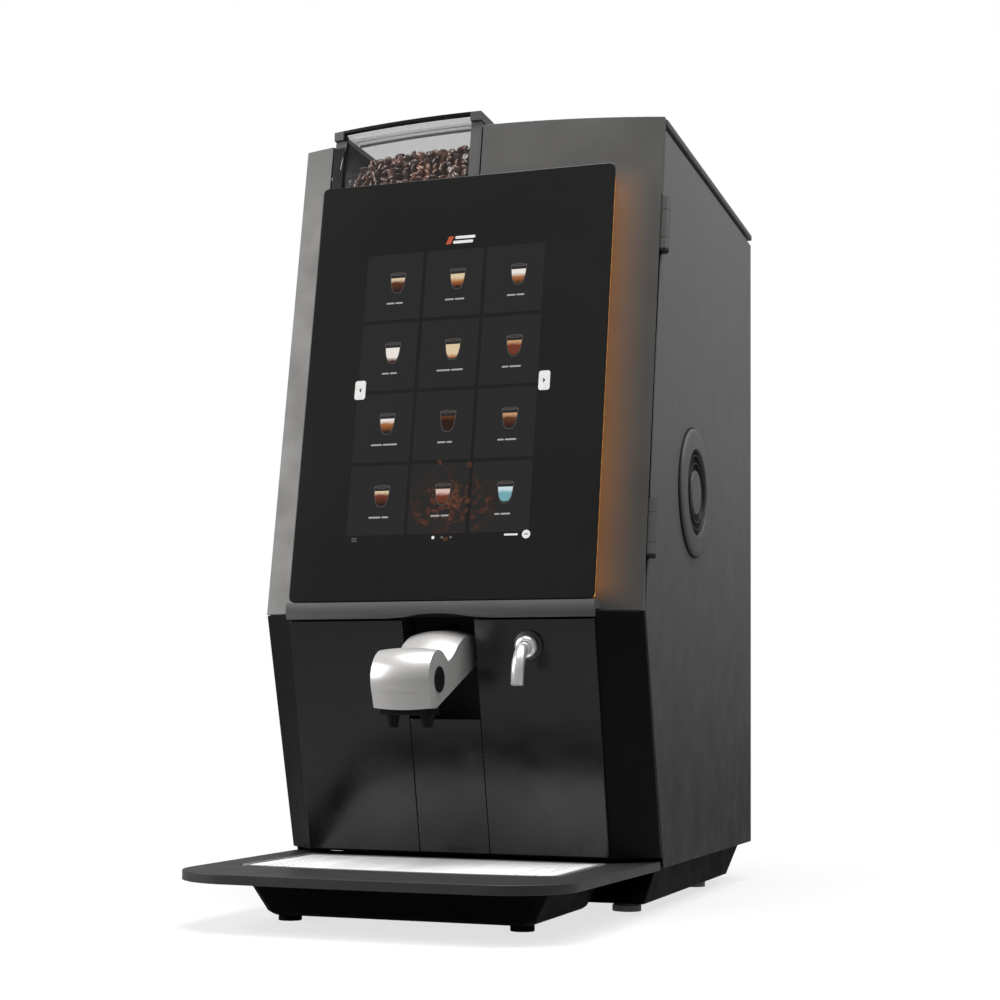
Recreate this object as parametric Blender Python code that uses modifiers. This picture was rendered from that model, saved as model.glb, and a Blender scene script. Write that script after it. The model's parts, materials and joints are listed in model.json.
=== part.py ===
"""Hot coffee vending machine: a table-top cabinet with a bowed touch-screen door and a drip tray.

Metres, +Z up. The front faces -Y and +X is on the right of someone facing it. The origin lies on the
surface that the feet stand on, at the middle of the footprint.
"""

import math

import bmesh
import bpy
from mathutils import Matrix, Vector

# Cabinet and front profile. The front leans back above and below a chin.
HALF_WIDTH = 0.170
TOP_Z = 0.688
CHIN_Y = -0.132
CHIN_Z = 0.254
BACK_Y = CHIN_Y + 0.465
UPPER_LEAN = 0.158
LOWER_LEAN = 0.302
FRONT_BOW = 0.026
PANEL_LEAN = 0.247
BASE_Z = 0.0385
SIDE_TOP_Z = 0.677
LIP_Z = 0.682

# Sheet thicknesses and clearances
GAP = 0.0003
SHEET = 0.0015
SKIN = 0.0025
SEAM = 0.006
SEAM_GAP = 0.0012

# Door
DOOR_FOOT_Z = 0.0475
CHIN_SPLIT = 0.0005
GLASS_HALF = 0.136
GLASS_LOW = 0.261
GLASS_HIGH = 0.639
GLASS_OFFSET = -0.0305
GLASS_THICK = 0.004
PANEL_THICK = 0.003
CHANNEL_HALF = 0.032
CHANNEL_LOW = 0.163
RECESS_TOP = 0.2455
RECESS_DEPTH = 0.032
HINGE_X = 0.172
HINGE_RADIUS = 0.005
HINGE_HEIGHTS = {"upper": 0.589, "lower": 0.322}
KNUCKLE_HEIGHTS = (0.012, 0.026, 0.012)

# Spout and tap
SPOUT_HALF = 0.0246
SPOUT_HEAD_Y = CHIN_Y - 0.086
SPOUT_HEAD_Z = 0.1940
SPOUT_RADIUS = 0.0235
SPOUT_FOOT_Z = 0.1710
TAP_X = 0.0785
TAP_Z = 0.2240
TAP_RADIUS = 0.0053

# Bean hopper
HOPPER_LEFT = -0.1380
HOPPER_RIGHT = 0.0095
HOPPER_BACK = CHIN_Y + 0.215
HOPPER_LOW = 0.6335
HOPPER_HIGH = 0.692
LID_HIGH = 0.7005
LID_PIVOT_Y = HOPPER_BACK + 0.009
LID_PIVOT_Z = 0.6965
COLUMN_X = -0.062
COLUMN_Y = CHIN_Y + 0.128

# Cabinet lock
LOCK_Z = 0.450

# Drip tray
TRAY_TOP = 0.0443
TRAY_LOW = 0.0368
TRAY_HALF_BACK = 0.1685
TRAY_HALF_FRONT = 0.159
TRAY_FRONT_Y = CHIN_Y - 0.207
TRAY_BACK_Y = CHIN_Y + 0.068
TRAY_BOW = 0.008
TRAY_CORNER = 0.060
GRILLE_HALF = 0.134
GRILLE_FRONT_Y = CHIN_Y - 0.128
GRILLE_BACK_Y = CHIN_Y + 0.019
GRILLE_TOP = 0.0448

# Side vent
VENT_Y = CHIN_Y + 0.183
VENT_Z = 0.3725
VENT_RADIUS = 0.060
VENT_HOLE = 0.0405

PARTS = "coffee_vending_machine"
CUTTERS = "cutters"


# --- Profile of the front -------------------------------------------------------------------------


def upper_y(z):
    """Y of the door's side edge above the chin."""
    return CHIN_Y + UPPER_LEAN * (z - CHIN_Z)


def lower_y(z):
    """Y of the door's side edge below the chin."""
    return CHIN_Y + LOWER_LEAN * (CHIN_Z - z)


def bow(x):
    """How far the bowed front stands forward of its side edges."""
    return FRONT_BOW * (1 - (x / HALF_WIDTH) ** 2)


def front_y(x, z):
    return upper_y(z) - bow(x)


def panel_y(z):
    """Front plane of the flat lower panels."""
    return CHIN_Y - 0.026 + PANEL_LEAN * (RECESS_TOP - z)


def spread(low, high, count):
    """Evenly spaced values from low to high, both included."""
    return [low + (high - low) * step / count for step in range(count + 1)]


# --- Scene helpers --------------------------------------------------------------------------------


def clear_scene():
    for obj in list(bpy.data.objects):
        bpy.data.objects.remove(obj, do_unlink=True)


def collection(name):
    found = bpy.data.collections.get(name)
    if found is None:
        found = bpy.data.collections.new(name)
        bpy.context.scene.collection.children.link(found)
    return found


def material(name, colour, roughness, metallic=0.0, alpha=1.0):
    mat = bpy.data.materials.new(name)
    mat.use_nodes = True
    shader = mat.node_tree.nodes["Principled BSDF"]
    shader.inputs["Base Color"].default_value = (*colour, 1.0)
    shader.inputs["Roughness"].default_value = roughness
    shader.inputs["Metallic"].default_value = metallic
    shader.inputs["Alpha"].default_value = alpha
    return mat


def add(name, mesh, look=None, smooth=None):
    """A part in the machine's collection, or a cutter when it has no look."""
    obj = bpy.data.objects.new(name, mesh)
    collection(PARTS if look else CUTTERS).objects.link(obj)
    if look:
        mesh.materials.append(material(name, *look))
    else:
        obj.hide_render = True
        obj.display_type = "WIRE"
    if smooth is not None:
        mesh.shade_smooth()
        mesh.set_sharp_from_angle(angle=math.radians(smooth))
    return obj


def from_bmesh(name, bm, look=None, smooth=None):
    bm.normal_update()
    bmesh.ops.recalc_face_normals(bm, faces=bm.faces)
    mesh = bpy.data.meshes.new(name)
    bm.to_mesh(mesh)
    bm.free()
    return add(name, mesh, look, smooth)


def box(name, low, high, look=None, bevel=0.0):
    low = Vector(low)
    high = Vector(high)
    bm = bmesh.new()
    bmesh.ops.create_cube(bm, size=1.0)
    bmesh.ops.scale(bm, vec=high - low, verts=bm.verts)
    bmesh.ops.translate(bm, vec=(low + high) / 2, verts=bm.verts)
    obj = from_bmesh(name, bm, look)
    if bevel:
        modifier = obj.modifiers.new("rounded_edges", "BEVEL")
        modifier.width = bevel
        modifier.segments = 2
    return obj


def axis_matrix(centre, axis):
    """Places local +Z along axis at centre."""
    turn = Vector(axis).to_track_quat("Z", "Y").to_matrix().to_4x4()
    return Matrix.Translation(centre) @ turn


def cylinder(name, centre, axis, radius, length, look=None, segments=24, tip_radius=None):
    bm = bmesh.new()
    bmesh.ops.create_cone(
        bm,
        cap_ends=True,
        segments=segments,
        radius1=radius,
        radius2=radius if tip_radius is None else tip_radius,
        depth=length,
    )
    bm.transform(axis_matrix(centre, axis))
    return from_bmesh(name, bm, look, smooth=40)


def turned(name, profile, centre, axis, look=None, steps=24):
    """A closed (radius, height) profile turned about axis, whose outer side runs top to bottom."""
    closed = profile[0][0] > 0 and profile[-1][0] > 0
    bm = bmesh.new()
    points = [bm.verts.new((radius, 0, height)) for radius, height in profile]
    for first, second in zip(points, points[1:] + points[:1] if closed else points[1:]):
        bm.edges.new((first, second))
    mesh = bpy.data.meshes.new(name)
    bm.to_mesh(mesh)
    bm.free()
    obj = add(name, mesh, look)
    obj.matrix_world = axis_matrix(centre, axis)
    screw = obj.modifiers.new("turn", "SCREW")
    screw.steps = steps
    screw.render_steps = steps
    screw.use_merge_vertices = True
    screw.merge_threshold = 0.00005
    screw.use_smooth_shade = False
    return obj


def plate(name, outlines, thickness, matrix, look=None, smooth=None):
    """A flat plate from closed outlines, the first one outside and the rest holes."""
    curve = bpy.data.curves.new(name, "CURVE")
    curve.dimensions = "2D"
    curve.fill_mode = "BOTH"
    curve.extrude = thickness / 2
    for outline in outlines:
        spline = curve.splines.new("POLY")
        spline.points.add(len(outline) - 1)
        for point, (x, y) in zip(spline.points, outline):
            point.co = (x, y, 0, 1)
        spline.use_cyclic_u = True
    flat = bpy.data.objects.new(name, curve)
    bpy.context.scene.collection.objects.link(flat)
    bpy.context.view_layer.update()
    graph = bpy.context.evaluated_depsgraph_get()
    mesh = bpy.data.meshes.new_from_object(flat.evaluated_get(graph))
    bpy.data.objects.remove(flat, do_unlink=True)
    bpy.data.curves.remove(curve)
    bm = bmesh.new()
    bm.from_mesh(mesh)
    bpy.data.meshes.remove(mesh)
    bmesh.ops.remove_doubles(bm, verts=bm.verts, dist=0.000002)
    bm.transform(matrix)
    return from_bmesh(name, bm, look, smooth)


def side_matrix(x_low, thickness):
    """Puts a plate's outline, given as (y, z), at right angles to X."""
    turn = Matrix(((0, 0, 1, x_low + thickness / 2), (1, 0, 0, 0), (0, 1, 0, 0), (0, 0, 0, 1)))
    return turn


def level_matrix(z_low, thickness):
    """Puts a plate's outline, given as (x, y), level at a height."""
    return Matrix.Translation((0, 0, z_low + thickness / 2))


def leaning_matrix(y, z, lean):
    """Puts a plate on a plane that leans back by lean, through (0, y, z), its local Z facing forward."""
    up = Vector((0, lean, 1)).normalized()
    out = Vector((1, 0, 0)).cross(up)
    turn = Matrix.Identity(4)
    for row in range(3):
        turn[row][0] = (1, 0, 0)[row]
        turn[row][1] = up[row]
        turn[row][2] = out[row]
        turn[row][3] = (0, y, z)[row]
    return turn


def loft(name, sections, look=None, smooth=None):
    """A solid through sections of equal point count, closed at its first and last section."""
    bm = bmesh.new()
    rings = [[bm.verts.new(point) for point in section] for section in sections]
    for lower, upper in zip(rings, rings[1:]):
        for index, vert in enumerate(lower):
            after = (index + 1) % len(lower)
            bm.faces.new((vert, lower[after], upper[after], upper[index]))
    bm.faces.new(rings[0])
    bm.faces.new(rings[-1])
    return from_bmesh(name, bm, look, smooth)


def tube(name, points, radius, look, resolution=2):
    """A bent tube or rod through its points."""
    curve = bpy.data.curves.new(name, "CURVE")
    curve.dimensions = "3D"
    curve.bevel_depth = radius
    curve.bevel_resolution = resolution
    curve.use_fill_caps = True
    spline = curve.splines.new("POLY")
    spline.points.add(len(points) - 1)
    for point, place in zip(spline.points, points):
        point.co = (*place, 1)
    obj = bpy.data.objects.new(name, curve)
    collection(PARTS).objects.link(obj)
    curve.materials.append(material(name, *look))
    return obj


def smooth_path(points, steps=5):
    """Points along a smooth curve through the given ones."""
    points = [Vector(point) for point in points]
    padded = [points[0], *points, points[-1]]
    path = []
    for index in range(1, len(padded) - 2):
        before, start, end, after = padded[index - 1 : index + 3]
        for step in range(steps):
            t = step / steps
            bend = 2 * start - 2 * end + (end - before) / 2 + (after - start) / 2
            turn = 3 * (end - start) - (end - before) - (after - start) / 2
            path.append(start + (end - before) / 2 * t + turn * t * t + bend * t**3)
    return [*path, points[-1]]


def cut(obj, cutter):
    modifier = obj.modifiers.new("cut_" + cutter.name, "BOOLEAN")
    modifier.operation = "DIFFERENCE"
    modifier.object = cutter
    return obj


def join(obj, other):
    modifier = obj.modifiers.new("join_" + other.name, "BOOLEAN")
    modifier.operation = "UNION"
    modifier.object = other
    return obj


def circle(radius, steps=32, centre=(0, 0)):
    turns = [2 * math.pi * step / steps for step in range(steps)]
    return [(centre[0] + radius * math.cos(t), centre[1] + radius * math.sin(t)) for t in turns]


def rounded_rectangle(half_x, half_y, radius, steps=3):
    outline = []
    for quarter, (side_x, side_y) in enumerate(((1, 1), (-1, 1), (-1, -1), (1, -1))):
        for angle in spread(quarter * 90, quarter * 90 + 90, steps):
            turn = math.radians(angle)
            x = side_x * (half_x - radius) + radius * math.cos(turn)
            y = side_y * (half_y - radius) + radius * math.sin(turn)
            outline.append((x, y))
    return outline


# --- Looks: colour, roughness, metallic, alpha ------------------------------------------------------

GREY_PAINT = ((0.085, 0.083, 0.080), 0.42)
SIDE_PAINT = ((0.070, 0.070, 0.068), 0.45)
DARK_PAINT = ((0.018, 0.018, 0.018), 0.40)
BLACK_PLASTIC = ((0.008, 0.008, 0.008), 0.45)
BLACK_GLASS = ((0.010, 0.010, 0.011), 0.08)
CLEAR_PLASTIC = ((0.85, 0.87, 0.87), 0.08, 0.0, 0.35)
AMBER_LIGHT = ((0.90, 0.42, 0.12), 0.40)
SILVER = ((0.62, 0.61, 0.60), 0.32, 0.3)
CHROME = ((0.85, 0.85, 0.86), 0.08, 1.0)
STEEL = ((0.60, 0.60, 0.60), 0.30, 1.0)
ZINC = ((0.42, 0.43, 0.44), 0.45, 1.0)
PALE_PLASTIC = ((0.72, 0.72, 0.70), 0.50)
BRASS = ((0.70, 0.52, 0.25), 0.30, 1.0)
BOARD_GREEN = ((0.03, 0.18, 0.07), 0.50)
HOSE = ((0.80, 0.80, 0.78), 0.45)


# --- Cabinet ----------------------------------------------------------------------------------------


def hinge_point(z):
    return Vector((HINGE_X, upper_y(z) + SEAM, z))


HINGE_AXIS = Vector((0, UPPER_LEAN, 1)).normalized()


def hinge_pocket(where):
    """Cutter that frees the seam round a hinge's barrel."""
    length = sum(KNUCKLE_HEIGHTS) + 0.003
    centre = hinge_point(HINGE_HEIGHTS[where])
    return cylinder("pocket_" + where, centre, HINGE_AXIS, HINGE_RADIUS + 0.0006, length)


def side_outline():
    behind = SEAM + SEAM_GAP
    return [
        (upper_y(SIDE_TOP_Z) + behind, SIDE_TOP_Z),
        (CHIN_Y + behind, CHIN_Z),
        (lower_y(BASE_Z) + behind, BASE_Z),
        (BACK_Y, BASE_Z),
        (BACK_Y, SIDE_TOP_Z),
    ]


def side_panels(pockets):
    right = plate(
        "side_panel_right", [side_outline()], SHEET, side_matrix(HALF_WIDTH - SHEET, SHEET), SIDE_PAINT
    )
    for pocket in pockets:
        cut(right, pocket)
    hole = cylinder("vent_hole", (HALF_WIDTH, VENT_Y, VENT_Z), (1, 0, 0), 0.046, 0.02)
    cut(right, hole)
    left = plate("side_panel_left", [side_outline()], SHEET, side_matrix(-HALF_WIDTH, SHEET), SIDE_PAINT)
    cut(left, cylinder("lock_hole", lock_centre(), (1, 0, 0), 0.0065, 0.02))


def back_panel():
    half = HALF_WIDTH - SHEET - GAP
    panel = box(
        "back_panel", (-half, BACK_Y - SHEET, BASE_Z), (half, BACK_Y, SIDE_TOP_Z), SIDE_PAINT
    )
    cut(panel, box("inlet_hole", (0.0545, BACK_Y - 0.01, 0.0985), (0.1315, BACK_Y + 0.01, 0.1265)))


def cover_outline(inset):
    """Outline of the top with the notch for the bean hopper, as (x, y)."""
    half = HALF_WIDTH - inset
    front = upper_y(TOP_Z) + SEAM + SEAM_GAP
    notch_left = HOPPER_LEFT - 0.0015
    notch_right = HOPPER_RIGHT + 0.0015
    notch_back = LID_PIVOT_Y + 0.007
    return [
        (-half, front),
        (notch_left, front),
        (notch_left, notch_back),
        (notch_right, notch_back),
        (notch_right, front),
        (half, front),
        (half, BACK_Y - inset),
        (-half, BACK_Y - inset),
    ]


def top_cover():
    """Lid of the cabinet: an overhanging plate on a set-back step that leaves a shadow groove."""
    cover = plate(
        "top_cover", [cover_outline(-0.001)], TOP_Z - LIP_Z, level_matrix(LIP_Z, TOP_Z - LIP_Z), SIDE_PAINT
    )
    low = SIDE_TOP_Z + GAP
    high = LIP_Z + 0.002
    join(cover, plate("cover_step", [cover_outline(0.0035)], high - low, level_matrix(low, high - low)))


def plinth():
    """Hollow base with a raked front and a chamfered back, open underneath."""
    half = 0.160
    foot = 0.010
    top = BASE_Z - GAP
    outline = [
        (CHIN_Y + 0.045, foot),
        (CHIN_Y + 0.385, foot),
        (BACK_Y - 0.013, top),
        (CHIN_Y + 0.085, top),
    ]
    base = plate("plinth", [outline], 2 * half, side_matrix(-half, 2 * half), DARK_PAINT)
    hollow = [
        (CHIN_Y + 0.043, foot - 0.006),
        (CHIN_Y + 0.375, foot - 0.006),
        (BACK_Y - 0.027, top - SKIN),
        (CHIN_Y + 0.090, top - SKIN),
    ]
    inside = half - SKIN
    cut(base, plate("plinth_hollow", [hollow], 2 * inside, side_matrix(-inside, 2 * inside)))


def levelling_feet():
    profile = [
        (0, 0.027),
        (0.004, 0.027),
        (0.004, 0.009),
        (0.0100, 0.007),
        (0.0125, 0.005),
        (0.0125, 0),
        (0, 0),
    ]
    for side, x in (("left", -0.134), ("right", 0.134)):
        for end, y in (("front", CHIN_Y + 0.088), ("rear", CHIN_Y + 0.345)):
            turned(f"levelling_foot_{end}_{side}", profile, (x, y, 0), (0, 0, 1), PALE_PLASTIC, 20)


def side_vent():
    """Raised round grille on the right side, with concentric slots round a middle disc."""
    profile = [
        (0, 0.0030),
        (0.0185, 0.0030),
        (0.0195, 0.0010),
        (VENT_HOLE, 0.0010),
        (0.0430, 0.0048),
        (0.0560, 0.0040),
        (0.0590, 0.0028),
        (VENT_RADIUS, GAP),
        (0.0450, GAP),
        (0.0440, -0.0010),
        (0, -0.0010),
    ]
    vent = turned("side_vent", profile, (HALF_WIDTH, VENT_Y, VENT_Z), (1, 0, 0), SIDE_PAINT, 40)
    turn = axis_matrix((HALF_WIDTH, VENT_Y, VENT_Z), (1, 0, 0))
    slots = 0
    for inner, outer in ((0.0340, 0.0385), (0.0265, 0.0310)):
        for start in (10, 130, 250):
            angles = [math.radians(angle) for angle in spread(start, start + 100, 8)]
            outline = [(outer * math.cos(a), outer * math.sin(a)) for a in angles]
            outline += [(inner * math.cos(a), inner * math.sin(a)) for a in reversed(angles)]
            slots += 1
            cut(vent, plate(f"vent_slot_{slots}", [outline], 0.01, turn))


def cooling_fan():
    """Axial fan behind the side vent: a square frame, and a flat bladed rotor on a stub shaft."""
    inner = HALF_WIDTH - SHEET - 0.004
    depth = 0.022
    frame_outer = rounded_rectangle(0.052, 0.052, 0.006)
    frame = plate(
        "fan_frame",
        [frame_outer, circle(0.0465, 32)],
        depth,
        axis_matrix((inner - depth / 2, VENT_Y, VENT_Z), (1, 0, 0)),
        BLACK_PLASTIC,
    )
    motor = plate(
        "fan_motor_plate",
        [rounded_rectangle(0.0505, 0.008, 0.003)],
        0.003,
        axis_matrix((inner - depth - 0.0015 + 0.0005, VENT_Y, VENT_Z), (1, 0, 0)),
    )
    join(frame, motor)
    blades = 7
    outline = []
    for blade in range(blades):
        start = 2 * math.pi * blade / blades
        for turn, radius in ((0.0, 0.017), (0.10, 0.043), (0.34, 0.045), (0.55, 0.044), (0.48, 0.017)):
            outline.append((radius * math.cos(start + turn), radius * math.sin(start + turn)))
    rotor_x = inner - depth / 2 + 0.003
    plate("fan_rotor", [outline], 0.007, axis_matrix((rotor_x, VENT_Y, VENT_Z), (1, 0, 0)), BLACK_PLASTIC)


# --- Door -------------------------------------------------------------------------------------------


def bowed_section(z, inset, back):
    half = HALF_WIDTH - inset
    arc = [(x, front_y(x, z) + inset, z) for x in spread(-half, half, 20)]
    rear = upper_y(z) + back
    return [(-half, rear, z), *arc, (half, rear, z)]


def door_frame(pockets):
    """Bowed shell round the screen, closed at the top, with the hopper notch and the display window."""
    low = CHIN_Z - 0.0015
    frame = loft(
        "door_frame", [bowed_section(z, 0, SEAM) for z in (low, TOP_Z)], GREY_PAINT, smooth=20
    )
    hollow = [bowed_section(z, SKIN, 0.02) for z in (low - 0.01, TOP_Z - SKIN)]
    cut(frame, loft("door_frame_hollow", hollow))
    notch_low = (HOPPER_LEFT - 0.0025, CHIN_Y - 0.03, HOPPER_LOW - 0.0015)
    notch_high = (HOPPER_RIGHT + 0.0025, CHIN_Y + 0.12, TOP_Z + 0.01)
    cut(frame, box("hopper_notch", notch_low, notch_high))
    window = [
        [(x, upper_y(z) + y, z) for x, y in ((-0.104, -0.04), (0.104, -0.04), (0.104, 0), (-0.104, 0))]
        for z in (0.285, 0.596)
    ]
    cut(frame, loft("display_window", window))
    for pocket in pockets:
        cut(frame, pocket)
    return frame


def touch_glass():
    middle = (GLASS_LOW + GLASS_HIGH) / 2
    stretch = math.hypot(1, UPPER_LEAN)
    outline = rounded_rectangle(GLASS_HALF, (GLASS_HIGH - GLASS_LOW) / 2 * stretch, 0.005)
    matrix = leaning_matrix(upper_y(middle) + GLASS_OFFSET + GLASS_THICK / 2, middle, UPPER_LEAN)
    glass = plate("touch_glass", [outline], GLASS_THICK, matrix, BLACK_GLASS)
    bevel = glass.modifiers.new("ground_edge", "BEVEL")
    bevel.width = 0.0006
    bevel.segments = 1


def display_module():
    """Flat display behind the glass, through the window of the door frame."""
    middle = 0.4405
    outline = rounded_rectangle(0.100, 0.152, 0.003, 2)
    depth = 0.012
    y = upper_y(middle) + GLASS_OFFSET + GLASS_THICK * 1.1 + depth / 2 + 0.0006
    plate("display_module", [outline], depth, leaning_matrix(y, middle, UPPER_LEAN), BLACK_PLASTIC)


def wedge(name, side, inner, outer, bite, look=None):
    """Upright wedge between the bowed frame and the back of the flat glass."""
    sections = []
    for z in (GLASS_LOW + 0.003, GLASS_HIGH - 0.008):
        face = upper_y(z) + GLASS_OFFSET + GLASS_THICK * 1.03 + GAP
        back = [(side * x, front_y(x, z) + bite, z) for x in spread(outer, inner, 4)]
        sections.append([(side * inner, face, z), (side * outer, face, z), *back])
    return loft(name, sections, look)


def glass_mounts(frame):
    """Wedge rails moulded on the frame, which carry the glass, and light strips on their outer sides."""
    for name, side in (("left", -1), ("right", 1)):
        join(frame, wedge("rail_" + name, side, 0.1065, 0.1290, 0.0008))
        wedge("light_strip_" + name, side, 0.1293, 0.1315, -GAP, AMBER_LIGHT)


def chin_bar():
    """Rounded bar under the glass, with a lip over the lower panels and a shallow arch over the recess."""
    half = 0.137
    sections = []
    for x in spread(-half, half, 18):
        back = CHIN_Y - bow(x) - 2 * GAP
        arch = 0.004 * max(0.0, 1 - (x / 0.035) ** 2)
        sections.append(
            [
                (x, CHIN_Y - 0.0300, 0.2605),
                (x, CHIN_Y - 0.0313, 0.2575),
                (x, CHIN_Y - 0.0315, 0.2540),
                (x, CHIN_Y - 0.0306, 0.2495 + arch / 2),
                (x, CHIN_Y - 0.0290, 0.2465 + arch),
                (x, CHIN_Y - 0.0271, 0.2465 + arch),
                (x, CHIN_Y - 0.0271, 0.2532),
                (x, back, 0.2532),
                (x, back, 0.2605),
            ]
        )
    loft("chin_bar", sections, GREY_PAINT, smooth=40)


def lower_section(z, inset, back):
    half = HALF_WIDTH - inset
    face = panel_y(z) + PANEL_THICK + 2 * GAP + inset
    side = lower_y(z)
    edge = 0.136 - inset / 2
    return [
        (-half, side + back, z),
        (-half, side + inset, z),
        (-edge, face, z),
        (edge, face, z),
        (half, side + inset, z),
        (half, side + back, z),
    ]


def leaning_block(name, low, high, half, near, far, look=None):
    """Block that leans with the lower panels, from near to far behind their faces."""
    sections = []
    for z in (low, high):
        y = panel_y(z)
        section = [(-half, y + near, z), (half, y + near, z), (half, y + far, z), (-half, y + far, z)]
        sections.append(section)
    return loft(name, sections, look)


def lower_shell():
    """Lower half of the door: slanted cheeks, closed foot, and the opening of the spout recess."""
    low = DOOR_FOOT_Z
    high = CHIN_Z - 0.0015 - CHIN_SPLIT
    shell = loft("door_lower_shell", [lower_section(z, 0, SEAM) for z in (low, high)], DARK_PAINT)
    hollow = [lower_section(z, SKIN, 0.02) for z in (low + SKIN, high + 0.01)]
    cut(shell, loft("lower_shell_hollow", hollow))
    opening_half = CHANNEL_HALF + 0.0035
    cut(shell, leaning_block("recess_opening", CHANNEL_LOW - 0.0045, 0.27, opening_half, -0.01, 0.03))


def lower_panels():
    """Two flat front panels and the strip that covers the channel below the spout."""
    foot = DOOR_FOOT_Z + 0.002
    for name, left, right, top in (
        ("lower_panel_left", -0.1357, -CHANNEL_HALF, RECESS_TOP),
        ("lower_panel_right", CHANNEL_HALF, 0.1357, RECESS_TOP),
        ("channel_strip", -CHANNEL_HALF + 0.0006, CHANNEL_HALF - 0.0006, CHANNEL_LOW),
    ):
        middle = (foot + top) / 2
        length = (top - foot) * math.hypot(1, PANEL_LEAN)
        outline = rounded_rectangle((right - left) / 2, length / 2, 0.0008, 1)
        y = panel_y(middle) + PANEL_THICK / 2
        matrix = leaning_matrix(y, middle, -PANEL_LEAN)
        matrix.translation.x = (left + right) / 2
        plate(name, [outline], PANEL_THICK, matrix, DARK_PAINT)


def recess_liner():
    """Open-fronted box behind the panels, with a slot in its back for the spout's carriage."""
    outer_half = CHANNEL_HALF + 0.0030
    front = PANEL_THICK + 2 * GAP
    low = CHANNEL_LOW - 0.004
    high = 0.2505
    back = RECESS_DEPTH
    liner = leaning_block("spout_recess_liner", low, high, outer_half, front, back, BLACK_PLASTIC)
    cut(liner, leaning_block("recess_hollow", low + 0.0022, high - 0.0022, CHANNEL_HALF, 0, back - 0.002))
    cut(liner, leaning_block("carriage_slot", 0.1820, 0.2430, 0.0075, back - 0.006, back + 0.004))


def door_liner():
    """Flat inner plate that closes the back of the upper door."""
    middle = 0.4425
    outline = rounded_rectangle(0.160, 0.182, 0.004, 1)
    y = upper_y(middle) + SEAM - 0.004
    plate("door_liner", [outline], 0.0015, leaning_matrix(y, middle, UPPER_LEAN), ZINC)


def leaf(name, centre, length, outline):
    """Hinge leaf whose outline, as (x, y) from the hinge's axis, runs along the axis for length."""
    sections = []
    for along in (-length / 2, length / 2):
        base = centre + HINGE_AXIS * along
        sections.append([(base.x + x, base.y + y, base.z) for x, y in outline])
    return loft(name, sections)


def hinge(where):
    """Barrel hinge on the right seam: the cabinet holds the pin and end knuckles, the door the middle one."""
    centre = hinge_point(HINGE_HEIGHTS[where])
    end, middle, _ = KNUCKLE_HEIGHTS
    total = sum(KNUCKLE_HEIGHTS)

    def knuckle(name, offset, length, look=None):
        return cylinder(name, centre + HINGE_AXIS * offset, HINGE_AXIS, HINGE_RADIUS, length, look, 20)

    cabinet = knuckle(f"hinge_{where}_cabinet", (middle + end) / 2, end - GAP, STEEL)
    join(cabinet, knuckle(f"end_{where}", -(middle + end) / 2, end - GAP))
    angle = [
        (-0.0010, 0.0010),
        (-0.0053, 0.0010),
        (-0.0053, 0.0180),
        (-0.0067, 0.0180),
        (-0.0067, -0.0002),
        (-0.0010, -0.0002),
    ]
    link = leaf(f"angle_{where}", centre, total, angle)
    space_low = (HALF_WIDTH - 0.0040, centre.y - 0.010, centre.z - middle / 2 - 0.0010)
    space_high = (HALF_WIDTH + 0.010, centre.y + 0.006, centre.z + middle / 2 + 0.0010)
    cut(link, box("space_" + where, space_low, space_high))
    join(cabinet, link)
    join(cabinet, cylinder(f"pin_{where}", centre, HINGE_AXIS, 0.0020, total - 0.002, None, 16))
    door = knuckle(f"hinge_{where}_door", 0, middle - GAP, STEEL)
    flat = [(-0.0010, -0.0029), (-0.0010, -0.0015), (-0.0240, -0.0015), (-0.0240, -0.0029)]
    join(door, leaf(f"flap_{where}", centre, middle - 0.004, flat))
    cut(door, cylinder("bore_" + where, centre, HINGE_AXIS, 0.0023, total, None, 16))


# --- Spout and tap ----------------------------------------------------------------------------------


def spout_profile():
    """Side outline of the spout as (y, z, share of the head): round head, notch and rising arm."""
    root = 0.0200
    points = [
        (panel_y(0.2330) + root, 0.2330, 0.0),
        (panel_y(0.2085) + root, 0.2085, 0.0),
        (SPOUT_HEAD_Y - 0.0050, SPOUT_FOOT_Z, 1.0),
        (SPOUT_HEAD_Y - 0.0160, SPOUT_FOOT_Z, 1.0),
    ]
    for angle in spread(212, 62, 10):
        turn = math.radians(angle)
        y = SPOUT_HEAD_Y + SPOUT_RADIUS * math.cos(turn)
        z = SPOUT_HEAD_Z + SPOUT_RADIUS * math.sin(turn)
        points.append((y, z, 1.0))
    points += [
        (SPOUT_HEAD_Y + 0.0210, 0.2090, 0.0),
        (SPOUT_HEAD_Y + 0.0295, 0.2125, 0.0),
        (SPOUT_HEAD_Y + 0.0445, 0.2235, 0.0),
        (CHIN_Y - 0.0240, 0.2315, 0.0),
    ]
    return points


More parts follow.
